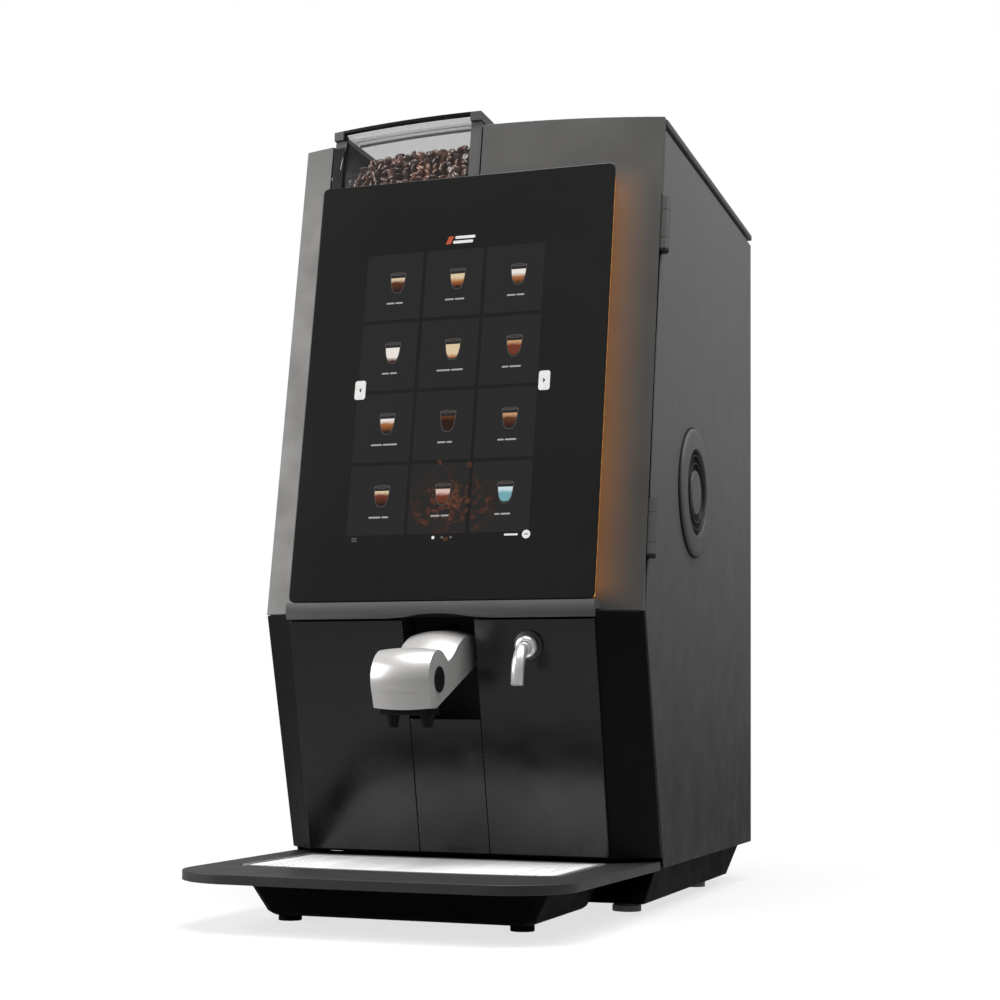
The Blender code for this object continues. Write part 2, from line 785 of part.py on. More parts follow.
def spout():
    """Silver cover whose head swells like a barrel across its width, and whose arm is crowned."""
    sections = []
    for x in spread(-SPOUT_HALF, SPOUT_HALF, 10):
        crown = 1 - (x / SPOUT_HALF) ** 2
        section = []
        for y, z, head in spout_profile():
            swell = 1 + 0.075 * crown * head
            forward = 0.0035 * crown * head * max(0.0, (SPOUT_HEAD_Y - y) / SPOUT_RADIUS)
            lift = 0.0045 * crown if z > 0.210 and head == 0 else 0.0
            section.append(
                (
                    x,
                    SPOUT_HEAD_Y + (y - SPOUT_HEAD_Y) * swell - forward,
                    SPOUT_HEAD_Z + (z - SPOUT_HEAD_Z) * (swell if head else 1) + lift,
                )
            )
        sections.append(section)
    cover = loft("spout_cover", sections, SILVER, smooth=35)
    pocket_low = (-0.0205, SPOUT_HEAD_Y - 0.0150, SPOUT_FOOT_Z - 0.01)
    pocket_high = (0.0205, SPOUT_HEAD_Y + 0.0163, 0.1958)
    cut(cover, box("nozzle_pocket", pocket_low, pocket_high))
    for side, sign in (("left", -1), ("right", 1)):
        profile = [(0, 0.0012), (0.0098, 0.0012), (0.0106, 0.0006), (0.0106, GAP), (0, GAP)]
        centre = (sign * SPOUT_HALF, SPOUT_HEAD_Y, SPOUT_HEAD_Z)
        turned("spout_cap_" + side, profile, centre, (sign, 0, 0), BLACK_PLASTIC, 24)
    nozzle_block()
    carriage()


def nozzle_block():
    low = (-0.0195, SPOUT_HEAD_Y - 0.0140, SPOUT_FOOT_Z - 0.0055)
    high = (0.0195, SPOUT_HEAD_Y + 0.0150, 0.1900)
    block = box("nozzle_block", low, high, BLACK_PLASTIC)
    for index, x in enumerate((-0.0150, 0.0150)):
        place = Vector((x, SPOUT_HEAD_Y + 0.0005, SPOUT_FOOT_Z - 0.0095))
        join(block, cylinder(f"nozzle_{index}", place, (0, 0, 1), 0.0042, 0.012, None, 16, 0.0062))
        place.z = 0.172
        cut(block, cylinder(f"nozzle_bore_{index}", place, (0, 0, 1), 0.0022, 0.04))


def carriage():
    """Slider behind the spout's arm, guided by the slot in the recess liner."""
    near = 0.0216
    back = RECESS_DEPTH
    slider = leaning_block("spout_carriage", 0.2110, 0.2310, 0.0060, near, back + 0.004, BLACK_PLASTIC)
    join(slider, leaning_block("carriage_shoe", 0.2070, 0.2350, 0.0200, back + 0.0012, back + 0.0050))


def hot_water_tap():
    """Bent chrome tube from a dark round flange on the right panel."""
    face = panel_y(TAP_Z)
    out = Vector((0, -1, -PANEL_LEAN)).normalized()
    root = Vector((TAP_X, face, TAP_Z))
    flange = [
        (0.0056, 0.0120),
        (0.0068, 0.0115),
        (0.0090, 0.0080),
        (0.0094, 0.0040),
        (0.0122, 0.0028),
        (0.0126, GAP),
        (0.0056, GAP),
    ]
    turned("tap_flange", flange, root, out, BLACK_PLASTIC, 28)
    bend = 0.0222
    points = [root + out * 0.0004, root + out * 0.0130]
    step = math.radians(10)
    for angle in spread(19, 79, 6):
        turn = math.radians(angle)
        points.append(points[-1] + Vector((0, -math.cos(turn), -math.sin(turn))) * bend * step)
    points.append(points[-1] + Vector((0, -0.10, -1)) * 0.0115)
    tube("tap_tube", points, TAP_RADIUS, CHROME, 4)


# --- Bean hopper ------------------------------------------------------------------------------------


def hopper_section(z, inset, back_inset=None):
    left = HOPPER_LEFT + inset
    right = HOPPER_RIGHT - inset
    back = HOPPER_BACK - (inset if back_inset is None else back_inset)
    front = [(x, front_y(x, z) + inset, z) for x in spread(left, right, 8)]
    return [*front, (right, back, z), (left, back, z)]


def hopper_window_block(name, left, right, low, high, near, far, look=None):
    sections = []
    for z in (low, high):
        front = [(x, front_y(x, z) + near, z) for x in spread(left, right, 8)]
        rear = [(x, front_y(x, z) + far, z) for x in spread(right, left, 8)]
        sections.append(front + rear)
    return loft(name, sections, look)


def bean_hopper():
    """Housing with an open top, a bowed front window, and a funnel through its floor."""
    housing = loft(
        "hopper_housing", [hopper_section(z, 0) for z in (HOPPER_LOW, HOPPER_HIGH)], GREY_PAINT
    )
    inside = [hopper_section(z, 0.0022) for z in (HOPPER_LOW + 0.0025, HOPPER_HIGH + 0.01)]
    cut(housing, loft("hopper_hollow", inside))
    funnel(housing)
    window = (-0.1275, 0.0003, 0.6400, 0.6885)
    cut(housing, hopper_window_block("window_hole", *window, -0.01, 0.01))
    pane = (-0.1300, 0.0028, 0.6375, 0.6905)
    hopper_window_block("hopper_window", *pane, 0.0022 + GAP, 0.0038, CLEAR_PLASTIC)


def ring_section(centre_x, centre_y, half_x, half_y, power, z, count=20):
    """Closed ring between a round and a nearly square outline."""
    ring = []
    for step in range(count):
        turn = 2 * math.pi * step / count
        c = math.cos(turn)
        s = math.sin(turn)
        x = centre_x + half_x * math.copysign(abs(c) ** power, c)
        y = centre_y + half_y * math.copysign(abs(s) ** power, s)
        ring.append((x, y, z))
    return ring


def funnel(housing):
    """Foot of the housing, which narrows to the throat of the grinder."""
    top = HOPPER_LOW + 0.001
    middle_x = (HOPPER_LEFT + HOPPER_RIGHT) / 2
    middle_y = COLUMN_Y + 0.0185
    outer = [
        ring_section(COLUMN_X, COLUMN_Y, 0.024, 0.024, 1.0, 0.5480),
        ring_section(COLUMN_X, COLUMN_Y, 0.030, 0.030, 1.0, 0.5620),
        ring_section(middle_x, middle_y, 0.067, 0.064, 0.4, top - 0.004),
        ring_section(middle_x, middle_y, 0.067, 0.064, 0.4, top),
    ]
    inner = [
        ring_section(COLUMN_X, COLUMN_Y, 0.021, 0.021, 1.0, 0.5400),
        ring_section(COLUMN_X, COLUMN_Y, 0.0275, 0.0275, 1.0, 0.5635),
        ring_section(middle_x, middle_y, 0.0645, 0.0615, 0.4, top - 0.003),
        ring_section(middle_x, middle_y, 0.0645, 0.0615, 0.4, top + 0.01),
    ]
    join(housing, loft("bean_funnel", outer))
    cut(housing, loft("funnel_hollow", inner))


def hopper_lid():
    """Dark lid frame with a clear pane, hinged along its back edge."""
    low = HOPPER_HIGH + GAP
    front = 0.0012

    def ring(z, inset):
        section = hopper_section(TOP_Z, inset)
        return [(x, y - (front if index < 9 else -0.0006), z) for index, (x, y, _) in enumerate(section)]

    frame = loft("hopper_lid_frame", [ring(z, -0.0008) for z in (low, LID_HIGH)], BLACK_PLASTIC)
    cut(frame, loft("lid_opening", [ring(z, 0.009) for z in (low - 0.01, LID_HIGH + 0.01)]))
    cut(frame, loft("lid_rebate", [ring(z, 0.0055) for z in (LID_HIGH - 0.0030, LID_HIGH + 0.01)]))
    loft(
        "hopper_lid_pane",
        [ring(z, 0.0060) for z in (LID_HIGH - 0.0030 + GAP, LID_HIGH - 0.0004)],
        CLEAR_PLASTIC,
    )
    pivot = Vector((COLUMN_X, LID_PIVOT_Y, LID_PIVOT_Z))
    join(frame, cylinder("lid_sleeve", pivot, (1, 0, 0), 0.0036, 0.070, None, 20))
    tongue_low = (COLUMN_X - 0.030, HOPPER_BACK - 0.0020, LID_PIVOT_Z - 0.0016)
    tongue_high = (COLUMN_X + 0.030, LID_PIVOT_Y, LID_PIVOT_Z + 0.0016)
    join(frame, box("lid_tongue", tongue_low, tongue_high))
    cut(frame, cylinder("lid_bore", pivot, (1, 0, 0), 0.0020, 0.12, segments=16))
    hinge_half = 0.0460
    base_low = (COLUMN_X - hinge_half, HOPPER_BACK + GAP, 0.6800)
    base_high = (COLUMN_X + hinge_half, LID_PIVOT_Y + 0.0040, 0.6850)
    base = box("lid_hinge", base_low, base_high, GREY_PAINT)
    for side in (-1, 1):
        x = COLUMN_X + side * 0.0420
        ear_low = (x - 0.0038, HOPPER_BACK + 0.0028, 0.6810)
        ear_high = (x + 0.0038, LID_PIVOT_Y + 0.0038, LID_PIVOT_Z + 0.0034)
        join(base, box(f"lid_ear_{side}", ear_low, ear_high))
    join(base, cylinder("lid_pin", pivot, (1, 0, 0), 0.0016, 2 * hinge_half - 0.004, None, 16))


# --- Inside the cabinet -----------------------------------------------------------------------------


def grinder():
    """Burr grinder under the hopper: housing with its motor below, coffee chute, and turning burr."""
    housing = [
        (0, 0.4705),
        (0.0060, 0.4705),
        (0.0060, 0.4780),
        (0.0262, 0.4900),
        (0.0262, 0.5475),
        (0.0360, 0.5475),
        (0.0380, 0.5440),
        (0.0380, 0.4740),
        (0.0300, 0.4700),
        (0.0290, 0.4000),
        (0.0250, 0.3960),
        (0, 0.3960),
    ]
    body = turned("grinder_housing", housing, (COLUMN_X, COLUMN_Y, 0), (0, 0, 1), ZINC, 28)
    knee = Vector((COLUMN_X, COLUMN_Y + 0.0410, 0.3920))
    head = Vector((COLUMN_X, COLUMN_Y + 0.0410, 0.5060))
    foot = Vector((COLUMN_X, COLUMN_Y + 0.0330, 0.3520))
    for radius, change in ((0.0080, join), (0.0062, cut)):
        for part, start, end in (("upper", head, knee), ("lower", knee, foot)):
            along = (end - start).normalized()
            run = (end - start).length + (0.002 if change is join else 0.004)
            name = f"chute_{part}_{change.__name__}"
            change(body, cylinder(name, (start + end) / 2, along, radius, run, None, 16))
    mouth = (COLUMN_X, COLUMN_Y + 0.0300, 0.4985)
    cut(body, cylinder("chute_mouth", mouth, (0, 1, 0), 0.0045, 0.014, None, 16))
    burr = [
        (0, 0.5350),
        (0.0080, 0.5330),
        (0.0225, 0.5080),
        (0.0225, 0.5000),
        (0.0048, 0.4960),
        (0.0048, 0.4715),
        (0, 0.4715),
    ]
    turned("grinder_burr", burr, (COLUMN_X, COLUMN_Y, 0), (0, 0, 1), STEEL, 24)


def brew_unit():
    """Piston brewer: open cylinder with a flange, and the piston that presses the coffee."""
    centre = (COLUMN_X, COLUMN_Y, 0)
    chamber = [
        (0.0260, 0.3300),
        (0.0360, 0.3300),
        (0.0360, 0.3240),
        (0.0300, 0.3200),
        (0.0300, 0.2300),
        (0.0080, 0.2220),
        (0.0040, 0.2220),
        (0.0040, 0.2300),
        (0.0260, 0.2360),
    ]
    turned("brew_chamber", chamber, centre, (0, 0, 1), PALE_PLASTIC, 28)
    piston = [
        (0, 0.3880),
        (0.0150, 0.3880),
        (0.0150, 0.3830),
        (0.0060, 0.3810),
        (0.0060, 0.3440),
        (0.0245, 0.3420),
        (0.0245, 0.3340),
        (0, 0.3340),
    ]
    turned("brew_piston", piston, centre, (0, 0, 1), STEEL, 24)


def open_box(name, low, high, wall, look, bevel=0.0):
    shell = box(name, low, high, look, bevel)
    inside_low = [value + wall for value in low]
    inside_high = [high[0] - wall, high[1] - wall, high[2] + wall]
    return cut(shell, box(name + "_hollow", inside_low, inside_high))


def ingredient_canister():
    """Powder canister with a screw auger in its trough, which drops powder into the mixing bowl."""
    low = (0.0450, CHIN_Y + 0.110, 0.4580)
    high = (0.1400, CHIN_Y + 0.270, 0.6450)
    body = open_box("powder_canister", low, high, 0.0025, PALE_PLASTIC)
    centre = (0.0925, 0, 0.4780)
    bore = cylinder("auger_bore", (centre[0], CHIN_Y + 0.110, centre[2]), (0, 1, 0), 0.0140, 0.02)
    cut(body, bore)
    cut(body, cylinder("drive_bore", (centre[0], CHIN_Y + 0.27, centre[2]), (0, 1, 0), 0.0050, 0.02))
    profile = [(0, 0.164), (0.0040, 0.164), (0.0040, 0.140)]
    for turn in range(7):
        height = 0.140 - 0.019 * turn
        profile += [(0.0040, height - 0.012), (0.0115, height - 0.014)]
        profile += [(0.0115, height - 0.016), (0.0040, height - 0.018)]
    profile += [(0.0040, 0), (0, 0)]
    turned("powder_auger", profile, (centre[0], CHIN_Y + 0.112, centre[2]), (0, 1, 0), PALE_PLASTIC, 16)
    spout_low = (centre[0] - 0.017, CHIN_Y + 0.086, 0.4400)
    spout_high = (centre[0] + 0.017, CHIN_Y + 0.111, 0.4950)
    join(body, box("powder_outlet", spout_low, spout_high))
    inner_low = (centre[0] - 0.0150, CHIN_Y + 0.088, 0.43)
    inner_high = (centre[0] + 0.0150, CHIN_Y + 0.1105, 0.4930)
    cut(body, box("outlet_hollow", inner_low, inner_high))


def mixing_bowl():
    """Funnel bowl where powder meets hot water, on its motor, with the whipper turning inside it."""
    centre = (0.0850, CHIN_Y + 0.130, 0)
    bowl = [
        (0, 0.3455),
        (0.0050, 0.3455),
        (0.0050, 0.3640),
        (0.0165, 0.3660),
        (0.0165, 0.3880),
        (0.0330, 0.4120),
        (0.0330, 0.4300),
        (0.0360, 0.4300),
        (0.0360, 0.4100),
        (0.0190, 0.3860),
        (0.0190, 0.3000),
        (0, 0.3000),
    ]
    turned("mixing_bowl", bowl, centre, (0, 0, 1), PALE_PLASTIC, 28)
    whipper = [
        (0, 0.3800),
        (0.0130, 0.3790),
        (0.0130, 0.3700),
        (0.0038, 0.3690),
        (0.0038, 0.3465),
        (0, 0.3465),
    ]
    turned("whipper", whipper, centre, (0, 0, 1), BLACK_PLASTIC, 20)


def boiler():
    body = [
        (0, 0.4450),
        (0.0200, 0.4450),
        (0.0200, 0.4370),
        (0.0300, 0.4350),
        (0.0460, 0.4250),
        (0.0480, 0.4200),
        (0.0480, 0.2300),
        (0.0460, 0.2250),
        (0.0300, 0.2150),
        (0, 0.2150),
    ]
    turned("boiler", body, (-0.1000, CHIN_Y + 0.345, 0), (0, 0, 1), STEEL, 32)


def water_parts():
    """Pump, valve block with its two coils, and the hose to the mixing bowl."""
    pump_y = CHIN_Y + 0.345
    pump = [
        (0, 0.045),
        (0.020, 0.045),
        (0.022, 0.040),
        (0.022, -0.030),
        (0.012, -0.034),
        (0.012, -0.045),
        (0, -0.045),
    ]
    turned("water_pump", pump, (-0.0950, pump_y, 0.0950), (0, 1, 0), BLACK_PLASTIC, 24)
    block = box("valve_block", (-0.0300, pump_y - 0.030, 0.1400), (0.0300, pump_y + 0.030, 0.1650), BRASS)
    for index, x in enumerate((-0.0150, 0.0150)):
        join(block, cylinder(f"valve_coil_{index}", (x, pump_y, 0.1840), (0, 0, 1), 0.0130, 0.0420, None, 20))
    path = [
        (0.0338, pump_y, 0.1520),
        (0.0600, pump_y - 0.0250, 0.2000),
        (0.0800, pump_y - 0.1000, 0.3200),
        (0.0850, CHIN_Y + 0.2000, 0.3950),
        (0.0850, CHIN_Y + 0.1710, 0.4200),
    ]
    tube("water_hose", smooth_path(path), 0.0035, HOSE)


def grounds_bin():
    low = (-0.1300, CHIN_Y + 0.084, 0.0435)
    high = (0.0100, CHIN_Y + 0.240, 0.1950)
    open_box("grounds_bin", low, high, 0.0025, BLACK_PLASTIC)


def electrics():
    """Control board on stand-offs, power supply, mains inlet and rocker switch."""
    inner = BACK_Y - SHEET
    board_low = (0.0100, inner - 0.0120, 0.4000)
    board_high = (0.1400, inner - 0.0104, 0.6000)
    board = box("control_board", board_low, board_high, BOARD_GREEN)
    for x in (0.0180, 0.1320):
        for z in (0.4080, 0.5920):
            centre = (x, inner - 0.0060, z)
            join(board, cylinder(f"standoff_{x}_{z}", centre, (0, 1, 0), 0.0035, 0.0110, None, 10))
    open_low = (0.0990, inner - 0.0250, 0.0990)
    open_high = (0.1310, BACK_Y + 0.0015, 0.1260)
    inlet = box("mains_inlet", open_low, open_high, BLACK_PLASTIC)
    cut(inlet, box("inlet_socket", (0.1030, BACK_Y - 0.0180, 0.1030), (0.1270, BACK_Y + 0.01, 0.1220)))
    for index, (x, z) in enumerate(((0.1080, 0.1105), (0.1220, 0.1105), (0.1150, 0.1150))):
        pin_low = (x - 0.0010, BACK_Y - 0.0190, z - 0.0020)
        pin_high = (x + 0.0010, BACK_Y - 0.0040, z + 0.0020)
        join(inlet, box(f"inlet_pin_{index}", pin_low, pin_high))
    join(inlet, box("switch_body", (0.0550, inner - 0.0160, 0.0990), (0.0995, BACK_Y + 0.0015, 0.1260)))
    cut(inlet, box("switch_well", (0.0575, BACK_Y - 0.0130, 0.1015), (0.0725, BACK_Y + 0.01, 0.1235)))
    rocker_outline = [
        (BACK_Y - 0.0090, 0.1075),
        (BACK_Y - 0.0090, 0.1175),
        (BACK_Y - 0.0005, 0.1222),
        (BACK_Y + 0.0008, 0.1225),
        (BACK_Y - 0.0012, 0.1125),
        (BACK_Y + 0.0008, 0.1025),
        (BACK_Y - 0.0005, 0.1028),
    ]
    plate("power_rocker", [rocker_outline], 0.0142, side_matrix(0.0579, 0.0142), BLACK_PLASTIC)


def lock_centre():
    return Vector((-HALF_WIDTH, upper_y(LOCK_Z) + 0.034, LOCK_Z))


def cabinet_lock():
    """Key barrel in the left side panel, with the cam that turns forward behind the door's edge."""
    profile = [
        (0, 0.0012),
        (0.0080, 0.0012),
        (0.0085, 0.0006),
        (0.0085, GAP),
        (0.0062, GAP),
        (0.0062, -0.0075),
        (0, -0.0075),
    ]
    centre = lock_centre()
    lock = turned("cabinet_lock", profile, centre, (-1, 0, 0), CHROME, 20)
    cam_low = centre + Vector((0.0060, -0.0060, -0.0060))
    cam_high = centre + Vector((0.0078, 0.0060, 0.0280))
    join(lock, box("lock_cam", cam_low, cam_high))
    keyway_low = centre + Vector((-0.0030, -0.0007, -0.0040))
    keyway_high = centre + Vector((0.0030, 0.0007, 0.0040))
    cut(lock, box("keyway", keyway_low, keyway_high))


# --- Drip tray --------------------------------------------------------------------------------------


def tray_outline(half_front, half_back, front_y_middle, bow_depth, back_y, radius):
    """Outline with a bowed front edge, round front corners and tapering sides, as (x, y)."""
    side = Vector((half_back - half_front, back_y - front_y_middle - bow_depth)).normalized()
    corner = Vector((half_front, front_y_middle + bow_depth))
    edge = Vector((-1, -2 * bow_depth / half_front)).normalized()
    between = math.acos(side.dot(edge))
    reach = radius / math.tan(between / 2)
    centre = corner + (side + edge).normalized() * radius / math.sin(between / 2)
    start = corner + edge * reach - centre
    end = corner + side * reach - centre
    turn = start.angle_signed(end)
    right = []
    for x in spread(0, half_front - reach, 6)[:-1]:
        right.append((x, front_y_middle + bow_depth * (x / half_front) ** 2))
    for step in spread(0, 1, 8):
        point = centre + Matrix.Rotation(-turn * step, 2) @ start
        right.append((point.x, point.y))
    right.append((half_back, back_y))
    left = [(-x, y) for x, y in reversed(right) if x > 0]
    return right + left


def drip_tray():
    """Wide frame with a rebate for the perforated insert, over a basin."""
    thick = TRAY_TOP - TRAY_LOW
    outer = tray_outline(
        TRAY_HALF_FRONT, TRAY_HALF_BACK, TRAY_FRONT_Y, TRAY_BOW, TRAY_BACK_Y, TRAY_CORNER
    )
    frame = plate("drip_tray_frame", [outer], thick, level_matrix(TRAY_LOW, thick), DARK_PAINT)
    half = GRILLE_HALF + 0.0001
    front = GRILLE_FRONT_Y - 0.0005
    rebate = tray_outline(half, half + 0.0005, front, 0.0095, GRILLE_BACK_Y + 0.0005, 0.012)
    cut(frame, plate("insert_rebate", [rebate], 0.01, level_matrix(0.0431, 0.01)))
    hole = tray_outline(0.098, 0.100, CHIN_Y - 0.084, 0.002, CHIN_Y + 0.008, 0.010)
    cut(frame, plate("tray_hole", [hole], 0.02, level_matrix(0.030, 0.02)))
    insert = tray_outline(GRILLE_HALF - 0.0004, GRILLE_HALF, GRILLE_FRONT_Y, 0.009, GRILLE_BACK_Y, 0.012)
    grille_low = 0.0431 + GAP
    grille_thick = GRILLE_TOP - grille_low
    plate("drip_grille", [insert], grille_thick, level_matrix(grille_low, grille_thick), STEEL)
    basin()


def basin():
    """Tapered open basin on two round feet."""

    def section(z, half, front, back):
        taper = 0.006
        return [
            (-half + taper, front, z),
            (half - taper, front, z),
            (half, front + taper, z),
            (half, back, z),
            (-half, back, z),
            (-half, front + taper, z),
        ]

    back = CHIN_Y + 0.038
    outer = [
        section(0.0052, 0.1085, CHIN_Y - 0.1080, back),
        section(0.0080, 0.1125, CHIN_Y - 0.1110, back),
        section(TRAY_LOW - GAP, 0.1285, CHIN_Y - 0.1200, back),
    ]
    inner = [
        section(0.0077, 0.1085, CHIN_Y - 0.1070, back - SKIN),
        section(TRAY_LOW + 0.01, 0.1315, CHIN_Y - 0.1200, back - SKIN),
    ]
    shell = loft("drip_basin", outer, BLACK_PLASTIC)
    cut(shell, loft("basin_hollow", inner))
    for side in (-1, 1):
        foot = (side * 0.0984, CHIN_Y - 0.0930, 0.0030)
        join(shell, cylinder(f"tray_foot_{side}", foot, (0, 0, 1), 0.0095, 0.0060, None, 20))


def main():
    clear_scene()
    pockets = [hinge_pocket(where) for where in HINGE_HEIGHTS]
    side_panels(pockets)
    back_panel()
    top_cover()
    plinth()
    levelling_feet()
    side_vent()
    cooling_fan()
    glass_mounts(door_frame(pockets))
    touch_glass()
    display_module()
    chin_bar()
    lower_shell()
    lower_panels()
    recess_liner()
    door_liner()
    for where in HINGE_HEIGHTS:
        hinge(where)
    spout()
    hot_water_tap()
    bean_hopper()
    hopper_lid()
    grinder()
    brew_unit()
    ingredient_canister()
    mixing_bowl()
    boiler()
    water_parts()
    grounds_bin()
    electrics()
    cabinet_lock()
    drip_tray()


main()
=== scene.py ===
"""The look of the hot coffee vending machine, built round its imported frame.

Metres, in the frame's own axes: +Z up, the front faces -Y, +X on the right of someone facing it.
A frame node keeps its mesh and gets a new finish, or a rounder and finer piece stands for it.
"""

import json
import math
import random

import bmesh
import bpy
from mathutils import Matrix, Vector, noise

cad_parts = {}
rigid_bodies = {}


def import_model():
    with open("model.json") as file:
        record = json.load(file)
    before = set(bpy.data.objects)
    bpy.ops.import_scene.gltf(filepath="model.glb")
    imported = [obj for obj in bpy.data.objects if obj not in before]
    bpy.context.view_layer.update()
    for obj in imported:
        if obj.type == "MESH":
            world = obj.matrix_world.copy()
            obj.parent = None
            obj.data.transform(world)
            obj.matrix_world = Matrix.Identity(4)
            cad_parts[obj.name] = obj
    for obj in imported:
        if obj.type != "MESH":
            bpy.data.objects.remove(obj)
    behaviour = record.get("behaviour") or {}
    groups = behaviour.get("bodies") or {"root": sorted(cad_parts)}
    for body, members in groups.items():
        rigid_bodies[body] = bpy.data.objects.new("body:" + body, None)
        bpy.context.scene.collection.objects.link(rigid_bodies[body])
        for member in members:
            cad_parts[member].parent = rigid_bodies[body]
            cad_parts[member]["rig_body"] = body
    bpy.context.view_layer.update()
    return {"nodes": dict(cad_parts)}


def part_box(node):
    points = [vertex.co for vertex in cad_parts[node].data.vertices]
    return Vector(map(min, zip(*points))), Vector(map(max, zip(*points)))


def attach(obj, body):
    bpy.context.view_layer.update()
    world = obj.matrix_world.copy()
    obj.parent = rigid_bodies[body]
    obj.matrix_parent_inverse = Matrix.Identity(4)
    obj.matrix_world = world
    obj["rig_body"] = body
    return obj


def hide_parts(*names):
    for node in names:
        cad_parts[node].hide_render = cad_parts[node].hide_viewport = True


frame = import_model()

# Camera and light
CAMERA_PLACE = (0.5284, -1.5514, 0.1581)
CAMERA_YAW = 18.77
CAMERA_PITCH = 4.0
CAMERA_ROLL = 0.54
CAMERA_LENS = 64.42
CAMERA_SHIFT = 0.1
SURROUNDING_LIGHT = 0.26

# Front profile, as the cabinet was designed
HALF_WIDTH = 0.170
CHIN_Y = -0.132
CHIN_Z = 0.254
UPPER_LEAN = 0.158
FRONT_BOW = 0.026
PANEL_LEAN = 0.247
GLASS_HALF = 0.136
GLASS_LOW = 0.261
GLASS_HIGH = 0.639
GLASS_OFFSET = -0.0305

# Spout, tap, vent, tray and hopper
SPOUT_HALF = 0.0246
SPOUT_HEAD_Y = CHIN_Y - 0.086
SPOUT_HEAD_Z = 0.1940
SPOUT_RADIUS = 0.0235
SPOUT_FOOT_Z = 0.1710
TAP_X = 0.0785
TAP_Z = 0.2240
TAP_RADIUS = 0.0053
VENT_Y = CHIN_Y + 0.183
VENT_Z = 0.3725
HOPPER_LEFT = -0.1380
HOPPER_RIGHT = 0.0095
HOPPER_BACK = CHIN_Y + 0.215
WINDOW_LEFT = HOPPER_LEFT + 0.0105
WINDOW_RIGHT = HOPPER_RIGHT - 0.0092
SHOULDER_Z = 0.6850
LID_SKIN_Z = 0.6976

# Picture on the screen: a grid of drinks, three across and four down
TILE_LEFT = -0.0865
TILE_TOP = 0.571
TILE_PITCH_X = 0.0557
TILE_PITCH_Z = 0.0640
TILE_GAP = 0.0030
CUP_ACROSS = 0.0300
CUP_DOWN = 0.0270
LABEL_DOWN = 0.0185
ICON_ROW_Z = 0.3157

# How far each layer of the picture stands off the glass
LOW_LIFT = 0.00005
CUP_LIFT = 0.00016
PRINT_LIFT = 0.00018
RIM_LIFT = 0.00028
FILM = 0.00006


def upper_y(z):
    return CHIN_Y + UPPER_LEAN * (z - CHIN_Z)


def front_y(x, z):
    return upper_y(z) - FRONT_BOW * (1 - (x / HALF_WIDTH) ** 2)


def panel_y(z):
    return CHIN_Y - 0.026 + PANEL_LEAN * (0.2455 - z)


def spread(low, high, count):
    return [low + (high - low) * step / count for step in range(count + 1)]


def srgb(red, green, blue):
    """Screen colour from 0 to 255 as the linear colour that shaders use."""
    values = [channel / 255 for channel in (red, green, blue)]
    return tuple(v / 12.92 if v < 0.04045 else ((v + 0.055) / 1.055) ** 2.4 for v in values)


# --- Meshes -----------------------------------------------------------------------------------------


def add(name, mesh, look, smooth=None):
    mesh.materials.clear()
    mesh.materials.append(look)
    obj = bpy.data.objects.new(name, mesh)
    bpy.context.scene.collection.objects.link(obj)
    if smooth is not None:
        shade(obj, smooth)
    return obj


def shade(obj, angle):
    """Smooth shading, broken along edges sharper than this angle."""
    for polygon in obj.data.polygons:
        polygon.use_smooth = True
    obj.data.set_sharp_from_angle(angle=math.radians(angle))
    weighted = obj.modifiers.new("even_normals", "WEIGHTED_NORMAL")
    weighted.keep_sharp = True


def from_bmesh(name, bm, look, smooth=None):
    bm.normal_update()
    bmesh.ops.recalc_face_normals(bm, faces=bm.faces)
    mesh = bpy.data.meshes.new(name)
    bm.to_mesh(mesh)
    bm.free()
    return add(name, mesh, look, smooth)


def piece(obj, body, slot, *nodes):
    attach(obj, body)
    if nodes:
        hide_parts(*nodes)
    return obj


def round_edges(bm, width, segments=2, sharpest=28):
    """Rounds every edge where two faces meet at more than this angle."""
    limit = math.radians(sharpest)
    edges = [e for e in bm.edges if len(e.link_faces) == 2 and e.calc_face_angle(0) > limit]
    bmesh.ops.bevel(
        bm, geom=edges, offset=width, segments=segments, profile=0.5, affect="EDGES", clamp_overlap=True
    )


def loft_bmesh(sections):
    """Solid through sections of equal point count, closed at both ends."""
    bm = bmesh.new()
    rings = [[bm.verts.new(point) for point in section] for section in sections]
    for low, high in zip(rings, rings[1:]):
        for index in range(len(low)):
            following = (index + 1) % len(low)
            bm.faces.new((low[index], low[following], high[following], high[index]))
    bm.faces.new(rings[0])
    bm.faces.new(rings[-1])
    return bm


def box_bmesh(low, high):
    bm = bmesh.new()
    bmesh.ops.create_cube(bm, size=1)
    middle = (Vector(low) + Vector(high)) / 2
    size = Vector(high) - Vector(low)
    for vertex in bm.verts:
        vertex.co = middle + Vector(a * b for a, b in zip(vertex.co, size))
    return bm


def bowed_bmesh(left, right, low, high, near, far):
    """Block that follows the cabinet's bowed front, from near to far behind it."""
    sections = []
    for z in (low, high):
        front = [(x, front_y(x, z) + near, z) for x in spread(left, right, 16)]
        rear = [(x, front_y(x, z) + far, z) for x in spread(right, left, 16)]
        sections.append(front + rear)
    return loft_bmesh(sections)


def take_in(bm, made):
    """Adds a finished mesh to a larger one."""
    mesh = bpy.data.meshes.new("taken_in")
    made.to_mesh(mesh)
    made.free()
    bm.from_mesh(mesh)
    bpy.data.meshes.remove(mesh)


def axis_matrix(centre, axis):
    """Turns +Z to this axis and moves the origin to this centre."""
    turn = Vector((0, 0, 1)).rotation_difference(Vector(axis))
    return Matrix.Translation(centre) @ turn.to_matrix().to_4x4()


def turned_ring(bm, matrix, radius, height, steps):
    points = [(radius * math.cos(t), radius * math.sin(t), height) for t in turns(steps)]
    return [bm.verts.new(matrix @ Vector(point)) for point in points]


